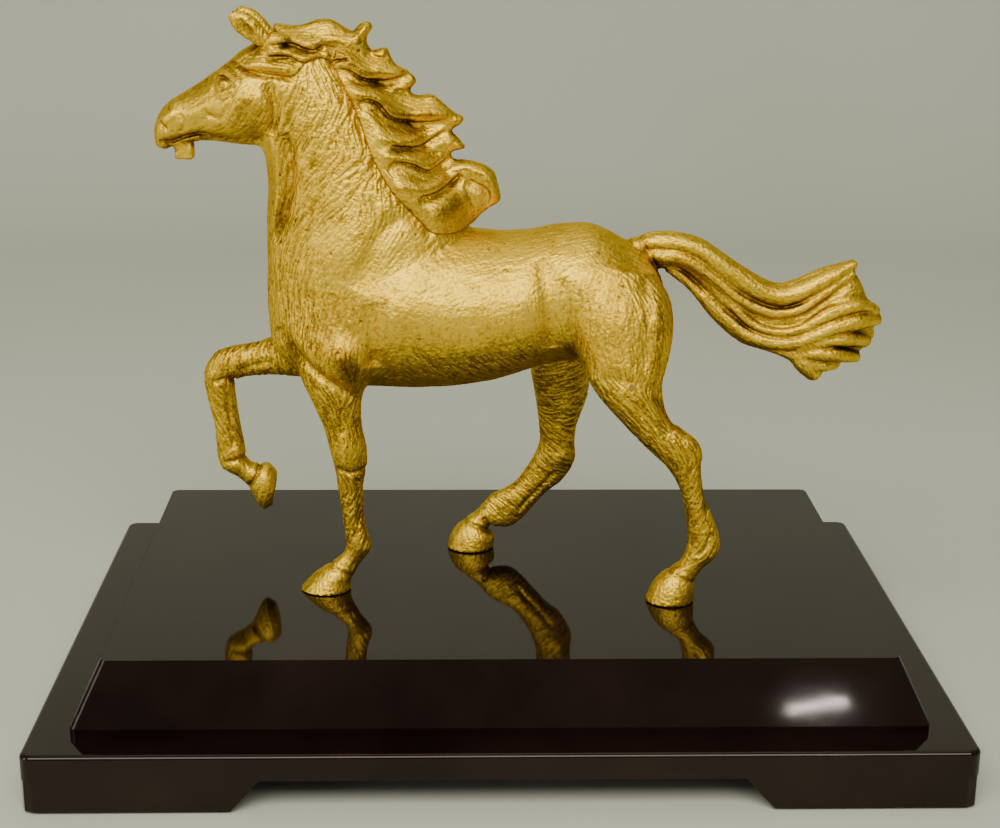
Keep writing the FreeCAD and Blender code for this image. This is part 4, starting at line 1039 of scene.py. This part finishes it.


# Colours of the gilding between its deeper and paler patches, and what multiplies them: painted
# shade from the open metal to the deepest clefts, shifted by random brown patches, sand and pits.
GOLD = ((0.30, (0.82, 0.52, 0.030)), (0.70, (0.95, 0.65, 0.055)))
SHADE_AND_BROWNING = (
    (0.06, (1.0, 1.0, 1.0)), (0.24, (0.70, 0.66, 0.58)), (0.45, (0.42, 0.36, 0.29)),
    (0.70, (0.24, 0.185, 0.13)), (0.95, (0.11, 0.080, 0.050)),
)
PITS = ((0.68, (0.0, 0.0, 0.0)), (0.76, (0.45, 0.45, 0.45)))
GOLD_GLINT = (1.0, 0.84, 0.45, 1.0)
# Sizes of the gilding's detail, in cycles per metre.
SAND_SCALE = 900
PIT_SCALE = 420
SMEAR_SCALE = 400
PATCH_SCALE = 160
TONE_SCALE = 90
# How far patches and sand shift the painted shade ramp, and how the painted shade adds to the
# roughness.
PATCH_SHARE = 0.12
SAND_SHARE = 0.33
SAND_DEPTH = 0.00026
SHADE_ROUGHNESS = 0.5

LACQUER = ((0.35, (0.0060, 0.0022, 0.0018)), (0.70, (0.0130, 0.0060, 0.0044)))
LACQUER_GLINT = (1.0, 0.90, 0.82, 1.0)
LACQUER_IOR = 1.38
WAVE_SCALE = 28
WAVE_DEPTH = 0.0004
POLISH_SCALE = 60
DEPTH_SCALE = 24

SOFTWOOD = ((0.2, (0.20, 0.11, 0.05)), (0.8, (0.32, 0.20, 0.10)))


def gilt_bronze():
    """Satin gold over bronze, painted brown shade in clefts, sandy grain and small dark pits."""
    nodes = Nodes("gilt_bronze")
    # painted shade for each point, stored on the sculpted skin
    painted_shade = nodes.add("ShaderNodeAttribute", attribute_name="painted_shade").outputs["Fac"]
    patchy = nodes.span(nodes.noise(PATCH_SCALE, 5, 0.6), -PATCH_SHARE, PATCH_SHARE)
    sand = nodes.noise(SAND_SCALE, 2, 0.6)
    speckle = nodes.span(sand, SAND_SHARE, -SAND_SHARE)
    pits = nodes.ramp(nodes.noise(PIT_SCALE, 2, 0.5), *PITS)
    # painted shade plus random patches and sand speckle; with the pits it picks the brown that
    # darkens the gold
    shade_and_stain = nodes.math("ADD", nodes.math("ADD", painted_shade, patchy), speckle)
    gold = nodes.ramp(nodes.noise(TONE_SCALE, 4, 0.6), *GOLD)
    brown = nodes.ramp(nodes.math("ADD", shade_and_stain, pits), *SHADE_AND_BROWNING)
    smear = nodes.math("ADD", nodes.noise(SMEAR_SCALE, 3),
                       nodes.math("MULTIPLY", painted_shade, SHADE_ROUGHNESS))
    return nodes.finish(
        Base_Color=nodes.darken(gold, brown), Metallic=1.0, Roughness=nodes.span(smear, 0.40, 0.56),
        Normal=nodes.bump(sand, SAND_DEPTH, 0.9), Specular_Tint=GOLD_GLINT)


def black_lacquer():
    """Deep black-brown gloss with faint waves and polish marks."""
    nodes = Nodes("black_lacquer")
    polish = nodes.span(nodes.noise(POLISH_SCALE, 4, 0.6), 0.025, 0.075)
    waves = nodes.bump(nodes.noise(WAVE_SCALE, 2), WAVE_DEPTH, 0.12)
    return nodes.finish(
        Base_Color=nodes.ramp(nodes.noise(DEPTH_SCALE, 3), *LACQUER), Roughness=polish,
        Normal=waves, IOR=LACQUER_IOR, Specular_Tint=LACQUER_GLINT)


def plain_material(name, dark, light, scale, rough, metallic=0.0, depth=0.0001):
    """A material whose colour varies between two, with a fine grain."""
    nodes = Nodes(name)
    grain = nodes.noise(scale, 5, 0.6)
    return nodes.finish(
        Base_Color=nodes.ramp(grain, (0.3, dark), (0.7, light)), Metallic=metallic,
        Roughness=nodes.span(grain, rough - 0.06, rough + 0.08),
        Normal=nodes.bump(grain, depth, 0.5))


def bare_wood():
    """Plain softwood with growth rings drawn out along X."""
    nodes = Nodes("bare_wood")
    grain = nodes.add("ShaderNodeTexWave", {
        "Vector": nodes.place, "Scale": 60.0, "Distortion": 3.0, "Detail": 3.0},
        bands_direction="Y").outputs["Fac"]
    return nodes.finish(Base_Color=nodes.ramp(grain, *SOFTWOOD), Roughness=0.75,
                        Normal=nodes.bump(grain, 0.0001, 0.4))


MATERIALS = {
    "gilt_bronze": gilt_bronze(),
    "black_lacquer": black_lacquer(),
    "brass_pin": plain_material(
        "brass_pin", (0.45, 0.28, 0.08), (0.62, 0.42, 0.14), 900, 0.35, metallic=1.0),
    "zinc_steel": plain_material(
        "zinc_steel", (0.42, 0.42, 0.40), (0.60, 0.60, 0.58), 700, 0.38, metallic=1.0),
    "pad_rubber": plain_material(
        "pad_rubber", (0.010, 0.010, 0.010), (0.022, 0.021, 0.02), 1500, 0.7),
    "bare_wood": bare_wood(),
    "felt": plain_material(
        "felt", (0.02, 0.045, 0.025), (0.04, 0.08, 0.045), 2500, 0.92, depth=0.0004),
}


def coat_with(piece, material):
    """Gives a piece one material all over."""
    piece.data.materials.clear()
    piece.data.materials.append(material)


for part in frame["record"]["subparts"]:
    if part["node"] not in castings:
        coat_with(frame["nodes"][part["node"]], MATERIALS[part["material_slot"]])
for piece in castings.values():
    coat_with(piece, MATERIALS["gilt_bronze"])


# ---------------------------------------------------------------- stage, light and camera

STAGE_SIDE = 6.0
WALL_BEHIND = 1.1
WALL_BEND = 0.35
BEND_STEPS = 16
PAPER = ((0.3, (0.54, 0.56, 0.45)), (0.7, (0.57, 0.59, 0.48)))
# Lamps: name, place, size, power in watts and colour. The key is large and above the camera, the
# fill is on the left, the top is weak, and the window is the small bright one that the lacquer
# mirrors.
LAMPS = [
    ("key", (-0.15, -1.2, 1.30), (1.7, 0.85), 34.0, (1.0, 0.97, 0.90)),
    ("fill", (-1.3, -0.6, 0.5), (0.6, 0.8), 5.0, (1.0, 0.96, 0.88)),
    ("top", (0.1, 0.35, 1.6), (1.2, 0.6), 3.0, (1.0, 0.98, 0.94)),
    ("window", (0.35, -1.2, 0.53), (0.06, 0.008), 0.10, (1.0, 1.0, 1.0)),
]
LAMP_AIM = (0.0, 0.0, 0.10)
SURROUND_COLOUR = (0.86, 0.87, 0.80, 1)
SURROUND_STRENGTH = 0.22


def make_stage():
    """A pale floor that curves up into a backdrop, the same across the whole width."""
    profile = [(-STAGE_SIDE / 2, 0.0)]
    for step in range(BEND_STEPS + 1):
        turn = math.pi / 2 * step / BEND_STEPS
        profile.append((WALL_BEHIND - WALL_BEND + WALL_BEND * math.sin(turn),
                        WALL_BEND * (1 - math.cos(turn))))
    profile.append((WALL_BEHIND, STAGE_SIDE / 2))
    corners = [(x, y, z) for y, z in profile for x in (-STAGE_SIDE / 2, STAGE_SIDE / 2)]
    faces = [(n, n + 1, n + 3, n + 2) for n in range(0, len(corners) - 2, 2)]
    mesh = bpy.data.meshes.new("stage")
    mesh.from_pydata(corners, [], faces)
    for face in mesh.polygons:
        face.use_smooth = True
    nodes = Nodes("stage_paper")
    tone = nodes.ramp(nodes.noise(3.0, 2), *PAPER)
    mesh.materials.append(nodes.finish(Base_Color=tone, Roughness=0.9))
    placed("stage", mesh)


def make_lights():
    """The lamps and a dim surround."""
    for name, place, size, power, colour in LAMPS:
        lamp = bpy.data.lights.new(name, "AREA")
        lamp.shape = "RECTANGLE"
        lamp.size, lamp.size_y = size
        lamp.energy = power
        lamp.color = colour
        holder = placed(name, lamp)
        holder.location = place
        aim = Vector(LAMP_AIM) - Vector(place)
        holder.rotation_euler = aim.to_track_quat("-Z", "Y").to_euler()
    world = bpy.data.worlds.new("surround")
    world.use_nodes = True
    background = world.node_tree.nodes["Background"]
    background.inputs["Color"].default_value = SURROUND_COLOUR
    background.inputs["Strength"].default_value = SURROUND_STRENGTH
    bpy.context.scene.world = world


CAMERA_PLACE = (-0.0178, -0.6052, 0.2841)
CAMERA_LENS = 64.8
CAMERA_SENSOR = 36.0
CAMERA_PITCH = math.radians(17.02)
CAMERA_YAW = math.radians(1.776)
CAMERA_ROLL = math.radians(-0.54)


def make_camera():
    """The camera, a little above the horse's back and turned slightly to the right."""
    ahead = Vector((math.sin(CAMERA_YAW) * math.cos(CAMERA_PITCH),
                    math.cos(CAMERA_YAW) * math.cos(CAMERA_PITCH), -math.sin(CAMERA_PITCH)))
    level = Vector((math.cos(CAMERA_YAW), -math.sin(CAMERA_YAW), 0.0))
    down = ahead.cross(level)
    right = level * math.cos(CAMERA_ROLL) + down * math.sin(CAMERA_ROLL)
    down = ahead.cross(right)
    lens = bpy.data.cameras.new("camera")
    lens.lens = CAMERA_LENS
    lens.sensor_width = CAMERA_SENSOR
    camera = placed("camera", lens)
    camera.matrix_world = Matrix.Translation(CAMERA_PLACE) @ Matrix(
        (right, -down, -ahead)).transposed().to_4x4()
    bpy.context.scene.camera = camera


make_stage()
make_lights()
make_camera()
